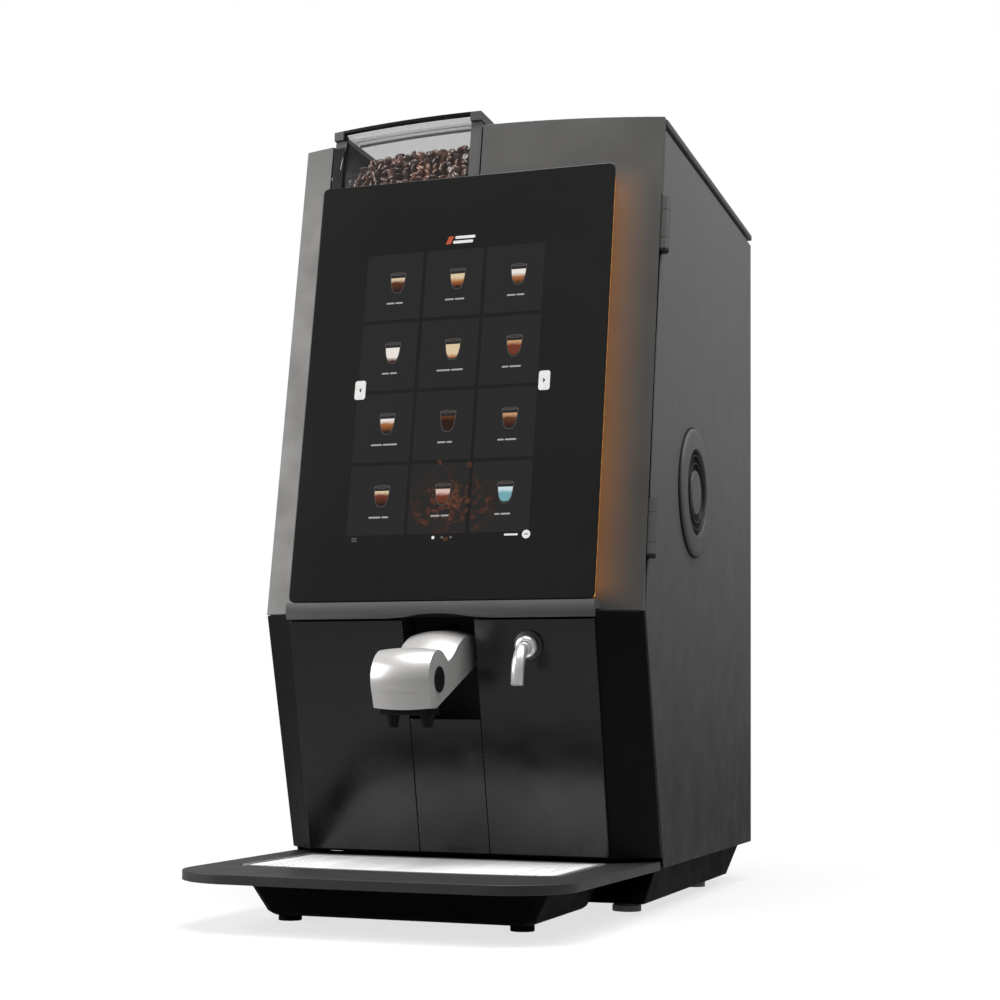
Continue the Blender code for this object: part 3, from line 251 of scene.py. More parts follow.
def turned_bmesh(profile, centre, axis, steps=64):
    """Solid of revolution from a closed (radius, height) profile that doesn't reach the axis."""
    bm = bmesh.new()
    matrix = axis_matrix(centre, axis)
    rings = [turned_ring(bm, matrix, radius, height, steps) for radius, height in profile]
    for index, ring in enumerate(rings):
        following = rings[(index + 1) % len(rings)]
        for step in range(steps):
            other = (step + 1) % steps
            bm.faces.new((ring[step], ring[other], following[other], following[step]))
    return bm


def disc_bmesh(profile, centre, axis, steps=64):
    """Solid of revolution from an open (radius, height) profile that starts and ends on the axis."""
    bm = bmesh.new()
    matrix = axis_matrix(centre, axis)
    tips = [bm.verts.new(matrix @ Vector((0, 0, profile[end][1]))) for end in (0, -1)]
    rings = [turned_ring(bm, matrix, radius, height, steps) for radius, height in profile[1:-1]]
    for step in range(steps):
        following = (step + 1) % steps
        for low, high in zip(rings, rings[1:]):
            bm.faces.new((low[step], low[following], high[following], high[step]))
        bm.faces.new((tips[0], rings[0][following], rings[0][step]))
        bm.faces.new((tips[1], rings[-1][step], rings[-1][following]))
    return bm


def plate_bmesh(outlines, thickness, matrix):
    """Flat plate from an outer outline and the outlines of its holes, in the matrix's XY plane."""
    bm = bmesh.new()
    for outline in outlines:
        corners = [bm.verts.new((x, y, 0)) for x, y in outline]
        for index, corner in enumerate(corners):
            bm.edges.new((corner, corners[(index + 1) % len(corners)]))
    bmesh.ops.triangle_fill(bm, use_beauty=True, edges=bm.edges[:])
    bmesh.ops.dissolve_limit(bm, angle_limit=0.001, verts=bm.verts[:], edges=bm.edges[:])
    raised = bmesh.ops.extrude_face_region(bm, geom=bm.faces[:])["geom"]
    corners = [item for item in raised if isinstance(item, bmesh.types.BMVert)]
    bmesh.ops.translate(bm, verts=corners, vec=(0, 0, thickness))
    bm.transform(matrix)
    return bm


def turns(steps):
    return [2 * math.pi * step / steps for step in range(steps)]


def circle(radius, steps, centre=(0, 0)):
    return [(centre[0] + radius * math.cos(t), centre[1] + radius * math.sin(t)) for t in turns(steps)]


def rounded(left, right, low, high, radius, steps=5):
    """Rectangle with rounded corners, as points in order."""
    outline = []
    corners = ((right, high, 0), (left, high, 90), (left, low, 180), (right, low, 270))
    for x, z, start in corners:
        centre_x = x + (radius if x == left else -radius)
        centre_z = z + (radius if z == low else -radius)
        for angle in spread(start, start + 90, steps):
            turn = math.radians(angle)
            outline.append((centre_x + radius * math.cos(turn), centre_z + radius * math.sin(turn)))
    return outline


def refined(node, look, width=0.0007, segments=2, smooth=40):
    """A copy of a frame node with rounded edges and even shading, which stands for it."""
    source = frame["nodes"][node]
    bm = bmesh.new()
    bm.from_mesh(source.data)
    bmesh.ops.remove_doubles(bm, verts=bm.verts, dist=2e-6)
    bmesh.ops.dissolve_limit(bm, angle_limit=math.radians(0.5), verts=bm.verts, edges=bm.edges)
    if width:
        round_edges(bm, width, segments)
    obj = from_bmesh(node + "_finish", bm, look, smooth)
    return piece(obj, source["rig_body"], node, node)


def finish(look, *nodes):
    """Gives frame nodes that keep their own mesh a new material."""
    for node in nodes:
        for material_slot in frame["nodes"][node].material_slots:
            material_slot.material = look


# --- Materials --------------------------------------------------------------------------------------


class Look:
    """A Principled material, with short names for the nodes that feed it."""

    def __init__(self, name, **values):
        self.material = bpy.data.materials.new(name)
        self.material.use_nodes = True
        self.tree = self.material.node_tree
        self.shader = self.tree.nodes["Principled BSDF"]
        for key, value in values.items():
            socket = self.shader.inputs[key.replace("_", " ")]
            socket.default_value = (*value, 1.0) if isinstance(value, tuple) else value

    def node(self, kind, **values):
        made = self.tree.nodes.new(kind)
        for key, value in values.items():
            if hasattr(made, key):
                setattr(made, key, value)
            else:
                made.inputs[key.replace("_", " ")].default_value = value
        return made

    def link(self, source, target):
        self.tree.links.new(source, target)

    def place(self, stretch=(1, 1, 1)):
        """Position on the object in metres, stretched along its axes."""
        mapping = self.node("ShaderNodeMapping")
        mapping.inputs["Scale"].default_value = stretch
        self.link(self.node("ShaderNodeTexCoord").outputs["Object"], mapping.inputs["Vector"])
        return mapping.outputs["Vector"]

    def axis(self, name):
        split = self.node("ShaderNodeSeparateXYZ")
        self.link(self.place(), split.inputs["Vector"])
        return split.outputs[name]

    def noise(self, scale, detail=3.0, roughness=0.5, stretch=(1, 1, 1)):
        made = self.node("ShaderNodeTexNoise", Scale=scale, Detail=detail, Roughness=roughness)
        self.link(self.place(stretch), made.inputs["Vector"])
        return made.outputs["Fac"]

    def cells(self, scale, feature="F1"):
        made = self.node("ShaderNodeTexVoronoi", Scale=scale)
        made.feature = feature
        self.link(self.place(), made.inputs["Vector"])
        return made

    def ramp(self, source, stops):
        made = self.node("ShaderNodeValToRGB")
        while len(made.color_ramp.elements) < len(stops):
            made.color_ramp.elements.new(0.5)
        for element, (place, colour) in zip(made.color_ramp.elements, stops):
            element.position = place
            element.color = (*colour, 1.0)
        self.link(source, made.inputs["Fac"])
        return made.outputs["Color"]

    def scaled(self, source, low, high, source_low=0.3, source_high=0.7):
        made = self.node("ShaderNodeMapRange")
        made.inputs["From Min"].default_value = source_low
        made.inputs["From Max"].default_value = source_high
        made.inputs["To Min"].default_value = low
        made.inputs["To Max"].default_value = high
        self.link(source, made.inputs["Value"])
        return made.outputs["Result"]

    def maths(self, operation, first, second):
        made = self.node("ShaderNodeMath")
        made.operation = operation
        for socket, value in zip(made.inputs, (first, second)):
            if isinstance(value, (int, float)):
                socket.default_value = value
            else:
                self.link(value, socket)
        return made.outputs["Value"]

    def feed(self, socket, source):
        self.link(source, self.shader.inputs[socket])
        return self

    def bump(self, source, strength, distance):
        made = self.node("ShaderNodeBump", Strength=strength, Distance=distance)
        self.link(source, made.inputs["Height"])
        self.link(made.outputs["Normal"], self.shader.inputs["Normal"])
        return self


def shades(colour, change):
    darker = tuple(value * (1 - change) for value in colour)
    lighter = tuple(value * (1 + change) for value in colour)
    return darker, lighter


def coated(name, colour, roughness, grain=900, depth=0.00010, strength=0.4, specular=0.35, change=0.10):
    """Powder coat or moulded plastic: a fine grain, a slightly uneven tone and sheen."""
    look = Look(name, Specular_IOR_Level=specular)
    dark, light = shades(colour, change)
    look.feed("Base Color", look.ramp(look.noise(11, 5, 0.6), [(0.34, dark), (0.66, light)]))
    look.feed("Roughness", look.scaled(look.noise(34, 4), roughness - 0.05, roughness + 0.07))
    look.bump(look.noise(grain, 2), strength, depth)
    return look


def metal(name, colour, roughness, stretch=(1, 1, 1), scale=220, strength=0.15, metallic=1.0):
    """Metal with fine marks, drawn out along one axis where it is brushed."""
    look = Look(name, Metallic=metallic)
    dark, light = shades(colour, 0.10)
    marks = look.noise(scale, 4, 0.6, stretch)
    look.feed("Base Color", look.ramp(marks, [(0.3, dark), (0.7, light)]))
    look.feed("Roughness", look.scaled(marks, roughness - 0.05, roughness + 0.08))
    look.bump(marks, strength, 0.00004)
    return look


def clear(name, alpha, tint=(0.92, 0.94, 0.94)):
    """Thin clear plastic with faint wiping marks."""
    look = Look(name, Alpha=alpha, Specular_IOR_Level=0.6)
    dark, light = shades(tint, 0.04)
    look.feed("Base Color", look.ramp(look.noise(30, 3), [(0.3, dark), (0.7, light)]))
    look.feed("Roughness", look.scaled(look.noise(70, 4), 0.04, 0.16))
    return look


# --- Camera, light and floor ------------------------------------------------------------------------


def camera():
    data = bpy.data.cameras.new("camera")
    data.lens = CAMERA_LENS
    data.sensor_width = 36.0
    data.shift_y = CAMERA_SHIFT
    data.clip_start = 0.02
    data.clip_end = 50
    obj = bpy.data.objects.new("camera", data)
    bpy.context.scene.collection.objects.link(obj)
    yaw = math.radians(CAMERA_YAW)
    pitch = math.radians(CAMERA_PITCH)
    roll = math.radians(CAMERA_ROLL)
    ahead = Vector((-math.sin(yaw) * math.cos(pitch), math.cos(yaw) * math.cos(pitch), math.sin(pitch)))
    level = Vector((math.cos(yaw), math.sin(yaw), 0))
    above = level.cross(ahead)
    right = level * math.cos(roll) + above * math.sin(roll)
    up = above * math.cos(roll) - level * math.sin(roll)
    turn = Matrix((right, up, -ahead)).transposed().to_4x4()
    obj.matrix_world = Matrix.Translation(CAMERA_PLACE) @ turn
    bpy.context.scene.camera = obj


def area_light(name, place, target, size, power, colour=(1, 1, 1)):
    data = bpy.data.lights.new(name, "AREA")
    data.shape = "RECTANGLE"
    data.size, data.size_y = size
    data.energy = power
    data.color = colour
    obj = bpy.data.objects.new(name, data)
    bpy.context.scene.collection.objects.link(obj)
    obj.location = place
    obj.rotation_euler = (Vector(target) - Vector(place)).to_track_quat("-Z", "Y").to_euler()


def studio():
    """White surroundings with soft light, most of it from above."""
    bpy.context.scene.view_settings.view_transform = "Standard"
    world = bpy.data.worlds.new("studio")
    bpy.context.scene.world = world
    world.use_nodes = True
    tree = world.node_tree
    background = tree.nodes["Background"]
    background.inputs["Color"].default_value = (1.0, 1.0, 1.0, 1.0)
    seen = tree.nodes.new("ShaderNodeLightPath")
    strength = tree.nodes.new("ShaderNodeMapRange")
    strength.inputs["To Min"].default_value = SURROUNDING_LIGHT
    strength.inputs["To Max"].default_value = 1.0
    tree.links.new(seen.outputs["Is Camera Ray"], strength.inputs["Value"])
    tree.links.new(strength.outputs["Result"], background.inputs["Strength"])
    area_light("key_left", (-1.9, -1.1, 1.1), (0, 0, 0.35), (1.0, 1.4), 44)
    area_light("fill_right", (1.05, 0.20, 1.55), (0.15, 0.1, 0.45), (0.8, 0.9), 11)
    area_light("top", (0.1, -0.25, 2.3), (0, -0.1, 0.3), (1.4, 1.4), 54)
    floor_sheet()


def floor_sheet():
    bm = bmesh.new()
    bmesh.ops.create_grid(bm, x_segments=8, y_segments=8, size=3.2)
    look = Look("floor", Roughness=0.75, Specular_IOR_Level=0.2)
    look.feed("Base Color", look.ramp(look.noise(3, 2), [(0.3, (0.90,) * 3), (0.7, (0.94,) * 3)]))
    distance = look.node("ShaderNodeVectorMath")
    distance.operation = "LENGTH"
    look.link(look.place(), distance.inputs[0])
    look.feed("Alpha", look.scaled(distance.outputs["Value"], 0.28, 0.0, 0.3, 1.1))
    floor = from_bmesh("floor", bm, look.material)


# --- Looks ------------------------------------------------------------------------------------------


def make_looks():
    looks = {}

    def keep(look):
        looks[look.material.name] = look.material
        return look

    keep(coated("grey_coat", srgb(92, 91, 90), 0.42, change=0.05))
    keep(coated("dark_coat", srgb(48, 48, 48), 0.40))
    keep(coated("lower_coat", srgb(17, 17, 17), 0.50, specular=0.08))
    keep(coated("black_satin", srgb(10, 10, 10), 0.22, grain=1400, depth=0.00004, specular=0.55))
    keep(coated("black_plastic", srgb(18, 18, 18), 0.5, grain=1100, specular=0.15))
    keep(coated("chin_grey", srgb(88, 88, 87), 0.36, grain=1300, depth=0.00005))
    keep(coated("pale_plastic", srgb(206, 206, 202), 0.5, grain=1000))
    keep(coated("grey_plastic", srgb(120, 121, 122), 0.5, grain=1000))
    keep(coated("base_black", srgb(9, 9, 9), 0.6, grain=1100, specular=0.06))
    keep(coated("rubber", srgb(18, 18, 18), 0.8, grain=700, depth=0.0002))
    keep(coated("hose_plastic", srgb(215, 215, 208), 0.42, grain=400, depth=0.0001))
    keep(coated("board_green", srgb(24, 82, 48), 0.45, grain=500, depth=0.0002, change=0.25))
    keep(metal("steel", srgb(190, 190, 188), 0.30, (1, 1, 0.04)))
    keep(metal("zinc", srgb(160, 162, 164), 0.42, scale=140))
    keep(metal("brass", srgb(196, 160, 92), 0.30, (0.1, 1, 1)))
    keep(metal("chrome", srgb(244, 244, 246), 0.20, scale=90, strength=0.03, metallic=0.7))
    keep(clear("clear_pane", 0.30, srgb(176, 174, 176)))
    keep(clear("clear_rib", 0.16, srgb(232, 231, 232)))
    keep(clear("clear_window", 0.05, srgb(120, 122, 122)))
    keep(clear("clear_canister", 0.25, srgb(214, 216, 216)))
    side_coat_painted_shade(keep)
    silver(keep)
    glass(keep)
    door_paint(keep)
    hinge_coat(keep, "upper")
    hinge_coat(keep, "lower")
    hopper_plastic(keep)
    lid_plastic(keep)
    insert_steel(keep)
    amber(keep)
    return looks


def side_coat_painted_shade(keep):
    """Powder coat of the cabinet, with painted shade that darkens it towards its foot."""
    look = coated("side_coat_painted_shade", srgb(84, 84, 83), 0.46, specular=0.2)
    height = look.scaled(look.axis("Z"), 0.0, 1.0, 0.03, 0.69)
    uneven = look.scaled(look.noise(11, 5, 0.6), -0.015, 0.015)
    # Painted shade: the colour runs from near black at the foot to grey at the top, for light falling off
    # down the side.
    stops = [
        (0.0, srgb(14, 14, 14)),
        (0.25, srgb(72, 72, 71)),
        (0.6, srgb(103, 103, 102)),
        (1.0, srgb(112, 112, 111)),
    ]
    keep(look).feed("Base Color", look.ramp(look.maths("ADD", height, uneven), stops))


def hinge_coat(keep, where):
    """Cabinet paint on a hinge, painted near black as shade at the lower end of its barrel."""
    grey = srgb(90, 90, 89)
    look = coated("hinge_coat_" + where, grey, 0.40)
    low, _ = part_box(f"hinge_{where}_cabinet")
    # Painted shade: the hinge turns near black in the lowest 3.5 mm of the barrel, for its shaded underside.
    hinge_end_shade = look.scaled(look.axis("Z"), 0.0, 1.0, low.z + 0.0034, low.z + 0.0036)
    keep(look).feed("Base Color", look.ramp(hinge_end_shade, [(0.0, srgb(16, 16, 16)), (1.0, grey)]))


def silver(keep):
    """Satin silver paint with a fine metallic fleck."""
    look = Look("silver_paint", Metallic=0.35, Coat_Weight=0.4, Coat_Roughness=0.2)
    tone = look.noise(2400, 2, 0.7)
    look.feed("Base Color", look.ramp(tone, [(0.3, srgb(184, 183, 181)), (0.7, srgb(210, 208, 206))]))
    look.feed("Roughness", look.scaled(look.noise(45, 4), 0.30, 0.42))
    keep(look).bump(look.noise(1500, 2), 0.25, 0.00005)


def glass(keep):
    """Black glass with very faint smears in its polish."""
    look = Look("black_glass", Specular_IOR_Level=0.22)
    look.feed("Base Color", look.ramp(look.noise(5, 3), [(0.3, srgb(28, 28, 28)), (0.7, srgb(35, 35, 34))]))
    keep(look).feed("Roughness", look.scaled(look.noise(16, 5, 0.6), 0.05, 0.16))


def door_paint(keep):
    """Door paint, with a painted amber glow beside the glass that stands for the strip's light falling on it.
    """
    look = coated("door_paint", srgb(86, 85, 83), 0.42)
    # Painted light: an amber emission on the frame along the glass's sides, fading away from the glass's
    # edge.
    side = look.scaled(look.axis("X"), 1.0, 0.0, GLASS_HALF - 0.001, GLASS_HALF + 0.027)
    inside = look.scaled(look.axis("X"), 0.0, 1.0, GLASS_HALF - 0.012, GLASS_HALF - 0.008)
    low = look.scaled(look.axis("Z"), 0.0, 1.0, GLASS_LOW - 0.004, GLASS_LOW + 0.012)
    high = look.scaled(look.axis("Z"), 1.0, 0.0, GLASS_HIGH - 0.02, GLASS_HIGH + 0.004)
    painted_glow = look.maths("MULTIPLY", look.maths("POWER", side, 1.2), inside)
    painted_glow = look.maths("MULTIPLY", painted_glow, look.maths("MULTIPLY", low, high))
    uneven = look.scaled(look.noise(9, 2), 0.8, 1.1)
    look.feed("Emission Strength", look.maths("MULTIPLY", look.maths("MULTIPLY", painted_glow, uneven), 0.14))
    look.shader.inputs["Emission Color"].default_value = (*srgb(236, 146, 40), 1.0)
    keep(look)


def hopper_plastic(keep):
    """Hopper moulding: grey front, black inside, black low on the left front as painted shade, pale rear
    wall.
    """
    look = coated("hopper_plastic", srgb(80, 80, 80), 0.5, grain=1200, specular=0.08)
    front = CHIN_Y - UPPER_LEAN * CHIN_Z - FRONT_BOW * (1 - (HOPPER_LEFT / HALF_WIDTH) ** 2)
    depth = look.maths("SUBTRACT", look.axis("Y"), look.maths("MULTIPLY", look.axis("Z"), UPPER_LEAN))
    outside = look.scaled(depth, 1.0, 0.0, front + 0.0014, front + 0.0018)
    # Painted shade: on the front, left of x = -0.12 and below the shoulder, the grey gives way to black.
    above = look.scaled(look.axis("Z"), 0.0, 1.0, SHOULDER_Z, SHOULDER_Z + 0.0010)
    right = look.scaled(look.axis("X"), 0.0, 1.0, -0.1200, -0.1100)
    grey = look.maths("MULTIPLY", outside, look.maths("MAXIMUM", above, right))
    rear = look.scaled(look.axis("Y"), 0.0, 1.0, HOPPER_BACK - 0.0030, HOPPER_BACK - 0.0020)
    tone = look.maths("ADD", look.maths("MULTIPLY", grey, 0.4), rear)
    stops = [(0.0, srgb(26, 27, 28)), (0.4, srgb(92, 92, 91)), (1.0, srgb(206, 205, 206))]
    keep(look).feed("Base Color", look.ramp(tone, stops))


def lid_plastic(keep):
    """Lid frame: grey end rails with a black rail along the front between them."""
    look = coated("lid_plastic", srgb(84, 84, 83), 0.5, grain=1200, specular=0.08)
    middle = (HOPPER_LEFT + HOPPER_RIGHT) / 2
    half = HOPPER_RIGHT - middle
    away = look.maths("ABSOLUTE", look.maths("SUBTRACT", look.axis("X"), middle), 0.0)
    rail = look.scaled(away, 0.0, 1.0, half - 0.0094, half - 0.0090)
    keep(look).feed("Base Color", look.ramp(rail, [(0.0, srgb(16, 16, 16)), (1.0, srgb(90, 90, 89))]))


def insert_steel(keep):
    """Bead-blasted steel of the tray insert."""
    look = Look("insert_steel", Metallic=0.15, Specular_IOR_Level=0.4)
    tone = look.noise(60, 4, 0.6, (1, 0.15, 1))
    look.feed("Base Color", look.ramp(tone, [(0.3, srgb(244, 244, 244)), (0.7, srgb(253, 253, 253))]))
    look.feed("Roughness", look.scaled(tone, 0.42, 0.58))
    keep(look).bump(look.noise(1800, 2), 0.3, 0.00004)


def amber(keep):
    """Light strip: a soft row of lamps behind a diffuser."""
    look = Look("amber_light", Roughness=0.4)
    wave = look.node("ShaderNodeTexWave", Scale=22.0, Distortion=0.0)
    wave.bands_direction = "Z"
    look.link(look.place(), wave.inputs["Vector"])
    tone = look.ramp(wave.outputs["Fac"], [(0.2, srgb(238, 140, 52)), (0.8, srgb(255, 186, 96))])
    look.feed("Base Color", tone).feed("Emission Color", tone)
    look.shader.inputs["Emission Strength"].default_value = 0.45
    keep(look)


# --- Screen -----------------------------------------------------------------------------------------

DRINK_COLOURS = {
    "espresso": (46, 24, 16),
    "coffee": (96, 54, 32),
    "caramel": (176, 110, 62),
    "chocolate": (118, 58, 40),
    "cream": (232, 208, 172),
    "tan": (206, 158, 116),
    "milk": (246, 240, 232),
    "pink": (232, 196, 186),
    "ice": (214, 236, 240),
    "water": (120, 176, 186),
}
# Bottom, middle and top colour of each drink, row by row, and how much of its height the top takes
DRINKS = (
    ("espresso", "coffee", "cream", 0.16),
    ("espresso", "caramel", "cream", 0.30),
    ("coffee", "caramel", "milk", 0.30),
    ("coffee", "milk", "milk", 0.55),
    ("caramel", "cream", "cream", 0.50),
    ("chocolate", "chocolate", "tan", 0.16),
    ("espresso", "caramel", "milk", 0.18),
    ("espresso", "espresso", "coffee", 0.14),
    ("espresso", "coffee", "tan", 0.16),
    ("espresso", "chocolate", "cream", 0.14),
    ("coffee", "chocolate", "pink", 0.24),
    ("water", "water", "ice", 0.20),
)
LONG_LABELS = (4, 6)
CUP_HALF = 0.0072
CUP_HIGH = 0.0095
SPLASH_X = 0.0075
SPLASH_Z = 0.343


def on_glass(x, z, lift):
    """Matrix of a drawing plane on the front of the glass, with its +Z outwards."""
    place = Vector((x, upper_y(z) + GLASS_OFFSET - lift, z))
    along = Vector((0, UPPER_LEAN, 1))
    return Matrix.Translation(place) @ Matrix(((1, 0, 0), (0, along.y, -1), (0, along.z, 0))).to_4x4()


def glass_print(name, outlines, look, centre, lift=LOW_LIFT, thickness=0.00008):
    """A thin picture element on the front of the screen, with its origin at its own centre."""
    plane = on_glass(*centre, lift)
    bm = plate_bmesh(outlines, thickness, plane.to_3x3().to_4x4())
    obj = from_bmesh(name, bm, look)
    obj.location = plane.translation
    return piece(obj, "door", "touch_glass")


def lit(name, colour, strength=1.0, change=0.08):
    """A bright part of the picture, with the faint unevenness of a backlight."""
    look = Look(name, Roughness=0.2, Specular_IOR_Level=0.2, Base_Color=(0.004, 0.004, 0.004))
    dark, light = shades(colour, change)
    look.feed("Emission Color", look.ramp(look.noise(160, 2), [(0.3, dark), (0.7, light)]))
    look.shader.inputs["Emission Strength"].default_value = strength
    return look.material


def tile_look():
    """Dark grey tile, with a dim brown splash of coffee behind the lowest row."""
    look = Look("screen_tile", Roughness=0.12, Specular_IOR_Level=0.22, Base_Color=(0.006, 0.006, 0.006))
    across = look.maths("MULTIPLY", look.maths("SUBTRACT", look.axis("X"), SPLASH_X), 23.0)
    above = look.maths("MULTIPLY", look.maths("SUBTRACT", look.axis("Z"), SPLASH_Z), 31.0)
    distance = look.maths("ADD", look.maths("POWER", across, 2.0), look.maths("POWER", above, 2.0))
    near = look.scaled(distance, 1.0, 0.0, 0.0, 1.2)
    spray = look.scaled(look.noise(150, 5, 0.72), 0.0, 1.0, 0.46, 0.66)
    splash = look.maths("MULTIPLY", near, spray)
    stops = [(0.0, srgb(40, 40, 40)), (0.25, srgb(54, 40, 35)), (1.0, srgb(124, 74, 54))]
    look.feed("Emission Color", look.ramp(splash, stops))
    look.shader.inputs["Emission Strength"].default_value = 0.72
    return look.material


def tiles():
    """Twelve dark tiles, which hold their place in the model so that the splash runs across them."""
    look = tile_look()
    bm = bmesh.new()
    for row in range(4):
        for column in range(3):
            left = TILE_LEFT + column * TILE_PITCH_X
            high = TILE_TOP - row * TILE_PITCH_Z
            right = left + TILE_PITCH_X - TILE_GAP
            low = high - TILE_PITCH_Z + TILE_GAP
            outline = rounded(left, right, low, high, 0.0012, 3)
            take_in(bm, plate_bmesh([outline], FILM, on_glass(0, 0, LOW_LIFT)))
    piece(from_bmesh("screen_tiles", bm, look), "door", "touch_glass")


def cup_outline(half, high, low, steps=12):
    """Side view of an egg-shaped glass with a small flat foot, from the rim down and up again."""
    right = []
    for angle in spread(0, 84, steps):
        turn = math.radians(angle)
        right.append((half * math.cos(turn) ** 0.62, high - (high - low) * math.sin(turn) ** 1.25))
    return right + [(-x, y) for x, y in reversed(right)]


def oval(half, high, middle=0.0, steps=20):
    return [(half * math.cos(t), middle + high * math.sin(t)) for t in turns(steps)]


def drink_look(name, bottom, middle, top, share):
    """Picture of a drink: its colours run into each other up the glass."""
    look = Look(name, Roughness=0.15, Specular_IOR_Level=0.2, Base_Color=(0.004, 0.004, 0.004))
    height = look.scaled(look.axis("Z"), 0.0, 1.0, -0.0078, 0.0048)
    uneven = look.scaled(look.noise(420, 3), -0.05, 0.05)
    colours = [srgb(*DRINK_COLOURS[key]) for key in (bottom, middle, top, top)]
    places = (0.05, max(0.3, 0.9 - share * 1.6), 1.02 - share, 1.0)
    stops = list(zip(places, colours))
    look.feed("Emission Color", look.ramp(look.maths("ADD", height, uneven), stops))
    look.shader.inputs["Emission Strength"].default_value = 0.85
    return look.material


def drinks():
    rim_look = lit("glass_rim", srgb(112, 108, 106), 0.7)
    label_look = lit("label_bar", srgb(190, 190, 190), 0.75)
    random.seed(11)
    fill = cup_outline(CUP_HALF - 0.0008, 0.0046, -CUP_HIGH + 0.0016)
    outer = cup_outline(CUP_HALF, CUP_HIGH - 0.0010, -CUP_HIGH)
    inner = cup_outline(CUP_HALF - 0.0004, CUP_HIGH - 0.0014, -CUP_HIGH + 0.0004)
    rim = oval(CUP_HALF, 0.0014, CUP_HIGH - 0.0012)
    hole = oval(CUP_HALF - 0.0004, 0.0010, CUP_HIGH - 0.0012)
    for index, colours in enumerate(DRINKS):
        row, column = divmod(index, 3)
        x = TILE_LEFT + column * TILE_PITCH_X + CUP_ACROSS
        z = TILE_TOP - row * TILE_PITCH_Z - CUP_DOWN
        tag = f"{row + 1}_{column + 1}"
        look = drink_look("drink_look_" + tag, *colours)
        glass_print("drink_" + tag, [fill], look, (x, z), PRINT_LIFT)
        glass_print("cup_line_" + tag, [outer, inner], rim_look, (x, z), CUP_LIFT, FILM)
        glass_print("cup_rim_" + tag, [rim, hole], rim_look, (x, z), RIM_LIFT, FILM)
        half = 0.0120 if index in LONG_LABELS else random.uniform(0.0065, 0.0090)
        split = random.uniform(-0.3, 0.3) * half
        for side, start, end in (("left", -half, split - 0.0005), ("right", split + 0.0005, half)):
            bar = rounded(start, end, -0.0007, 0.0007, 0.0005, 2)
            place = (x - 0.0015, z - LABEL_DOWN)
            glass_print(f"label_{side}_{tag}", [bar], label_look, place, PRINT_LIFT)


def screen_marks():
    """Neutral marks round the grid: a heading, side tabs, page dots and two icons."""
    white = lit("screen_white", srgb(235, 235, 233), 0.95)
    dim = lit("screen_dim", srgb(120, 120, 118), 0.7)
    warm = lit("screen_warm", srgb(196, 92, 60), 0.9)
    heading = (0.0, 0.580)
    slant = [(-0.0140, -0.0035), (-0.0095, -0.0035), (-0.0068, 0.0035), (-0.0113, 0.0035)]
    glass_print("heading_mark", [slant], warm, heading)
    glass_print("heading_bar_upper", [rounded(-0.0055, 0.0130, 0.0008, 0.0034, 0.0010, 3)], white, heading)
    glass_print("heading_bar_lower", [rounded(-0.0072, 0.0112, -0.0034, -0.0008, 0.0010, 3)], white, heading)
    tab = rounded(-0.0050, 0.0050, -0.0085, 0.0085, 0.0022)
    for name, sign, x in (("tab_left", 1, -0.0842), ("tab_right", -1, 0.0835)):
        arrow = [(-0.0010 * sign, 0.0), (0.0010 * sign, 0.0024), (0.0010 * sign, -0.0024)]
        glass_print(name, [tab, arrow], white, (x, 0.4476), PRINT_LIFT)
    dots = ((-0.0069, 0.0014, white), (0.0010, 0.0011, dim), (0.0090, 0.0011, dim))
    for index, (x, radius, look) in enumerate(dots):
        glass_print(f"page_dot_{index + 1}", [circle(radius, 14)], look, (x, 0.3148))
    icon_slot = rounded(-0.0018, 0.0018, -0.0004, 0.0004, 0.0003, 2)
    glass_print("round_icon", [circle(0.0036, 20), icon_slot], white, (0.0753, ICON_ROW_Z))
    icon_bar = rounded(-0.0060, 0.0060, -0.0008, 0.0008, 0.0006, 2)
    glass_print("icon_bar", [icon_bar], white, (0.0620, ICON_ROW_Z))
    menu_bar = rounded(-0.0024, 0.0024, -0.0003, 0.0003, 0.0002, 2)
    for index in range(3):
        glass_print(f"menu_bar_{index + 1}", [menu_bar], dim, (-0.0790, 0.3131 + 0.0014 * index))


def flying_beans():
    """A few dim beans in the splash on the screen."""
    look = lit("picture_bean", srgb(104, 66, 50), 0.55, 0.35)
    random.seed(5)
    bm = bmesh.new()
    for index in range(15):
        x = SPLASH_X + random.gauss(0, 0.021)
        z = SPLASH_Z + random.gauss(0.002, 0.014)
        turn = Matrix.Rotation(random.uniform(0, math.pi), 4, "Z")
        long_half = random.uniform(0.0020, 0.0031)
        outline = oval(long_half, 0.68 * long_half, steps=14)
        crease = oval(0.8 * long_half, 0.10 * long_half, steps=10)
        take_in(bm, plate_bmesh([outline, crease], 0.00004, on_glass(x, z, 0.00012) @ turn))
    piece(from_bmesh("picture_beans", bm, look), "door", "touch_glass")


# --- Finer pieces -----------------------------------------------------------------------------------


def spout_side():
    """Side outline of the spout as (y, z, share of the head): round head, notch and rising arm."""
    root = 0.0200
    points = [
        (panel_y(0.2330) + root, 0.2330, 0.0),
        (panel_y(0.2085) + root, 0.2085, 0.0),
        (SPOUT_HEAD_Y - 0.0050, SPOUT_FOOT_Z, 1.0),
        (SPOUT_HEAD_Y - 0.0160, SPOUT_FOOT_Z, 1.0),
    ]
    for angle in spread(212, 62, 26):
        turn = math.radians(angle)
        y = SPOUT_HEAD_Y + SPOUT_RADIUS * math.cos(turn)
        z = SPOUT_HEAD_Z + SPOUT_RADIUS * math.sin(turn)
        points.append((y, z, 1.0))
    points += [
        (SPOUT_HEAD_Y + 0.0210, 0.2090, 0.0),
        (SPOUT_HEAD_Y + 0.0295, 0.2125, 0.0),
        (SPOUT_HEAD_Y + 0.0375, 0.2182, 0.0),
        (SPOUT_HEAD_Y + 0.0445, 0.2235, 0.0),
        (SPOUT_HEAD_Y + 0.0530, 0.2280, 0.0),
        (CHIN_Y - 0.0240, 0.2315, 0.0),
    ]
    return points


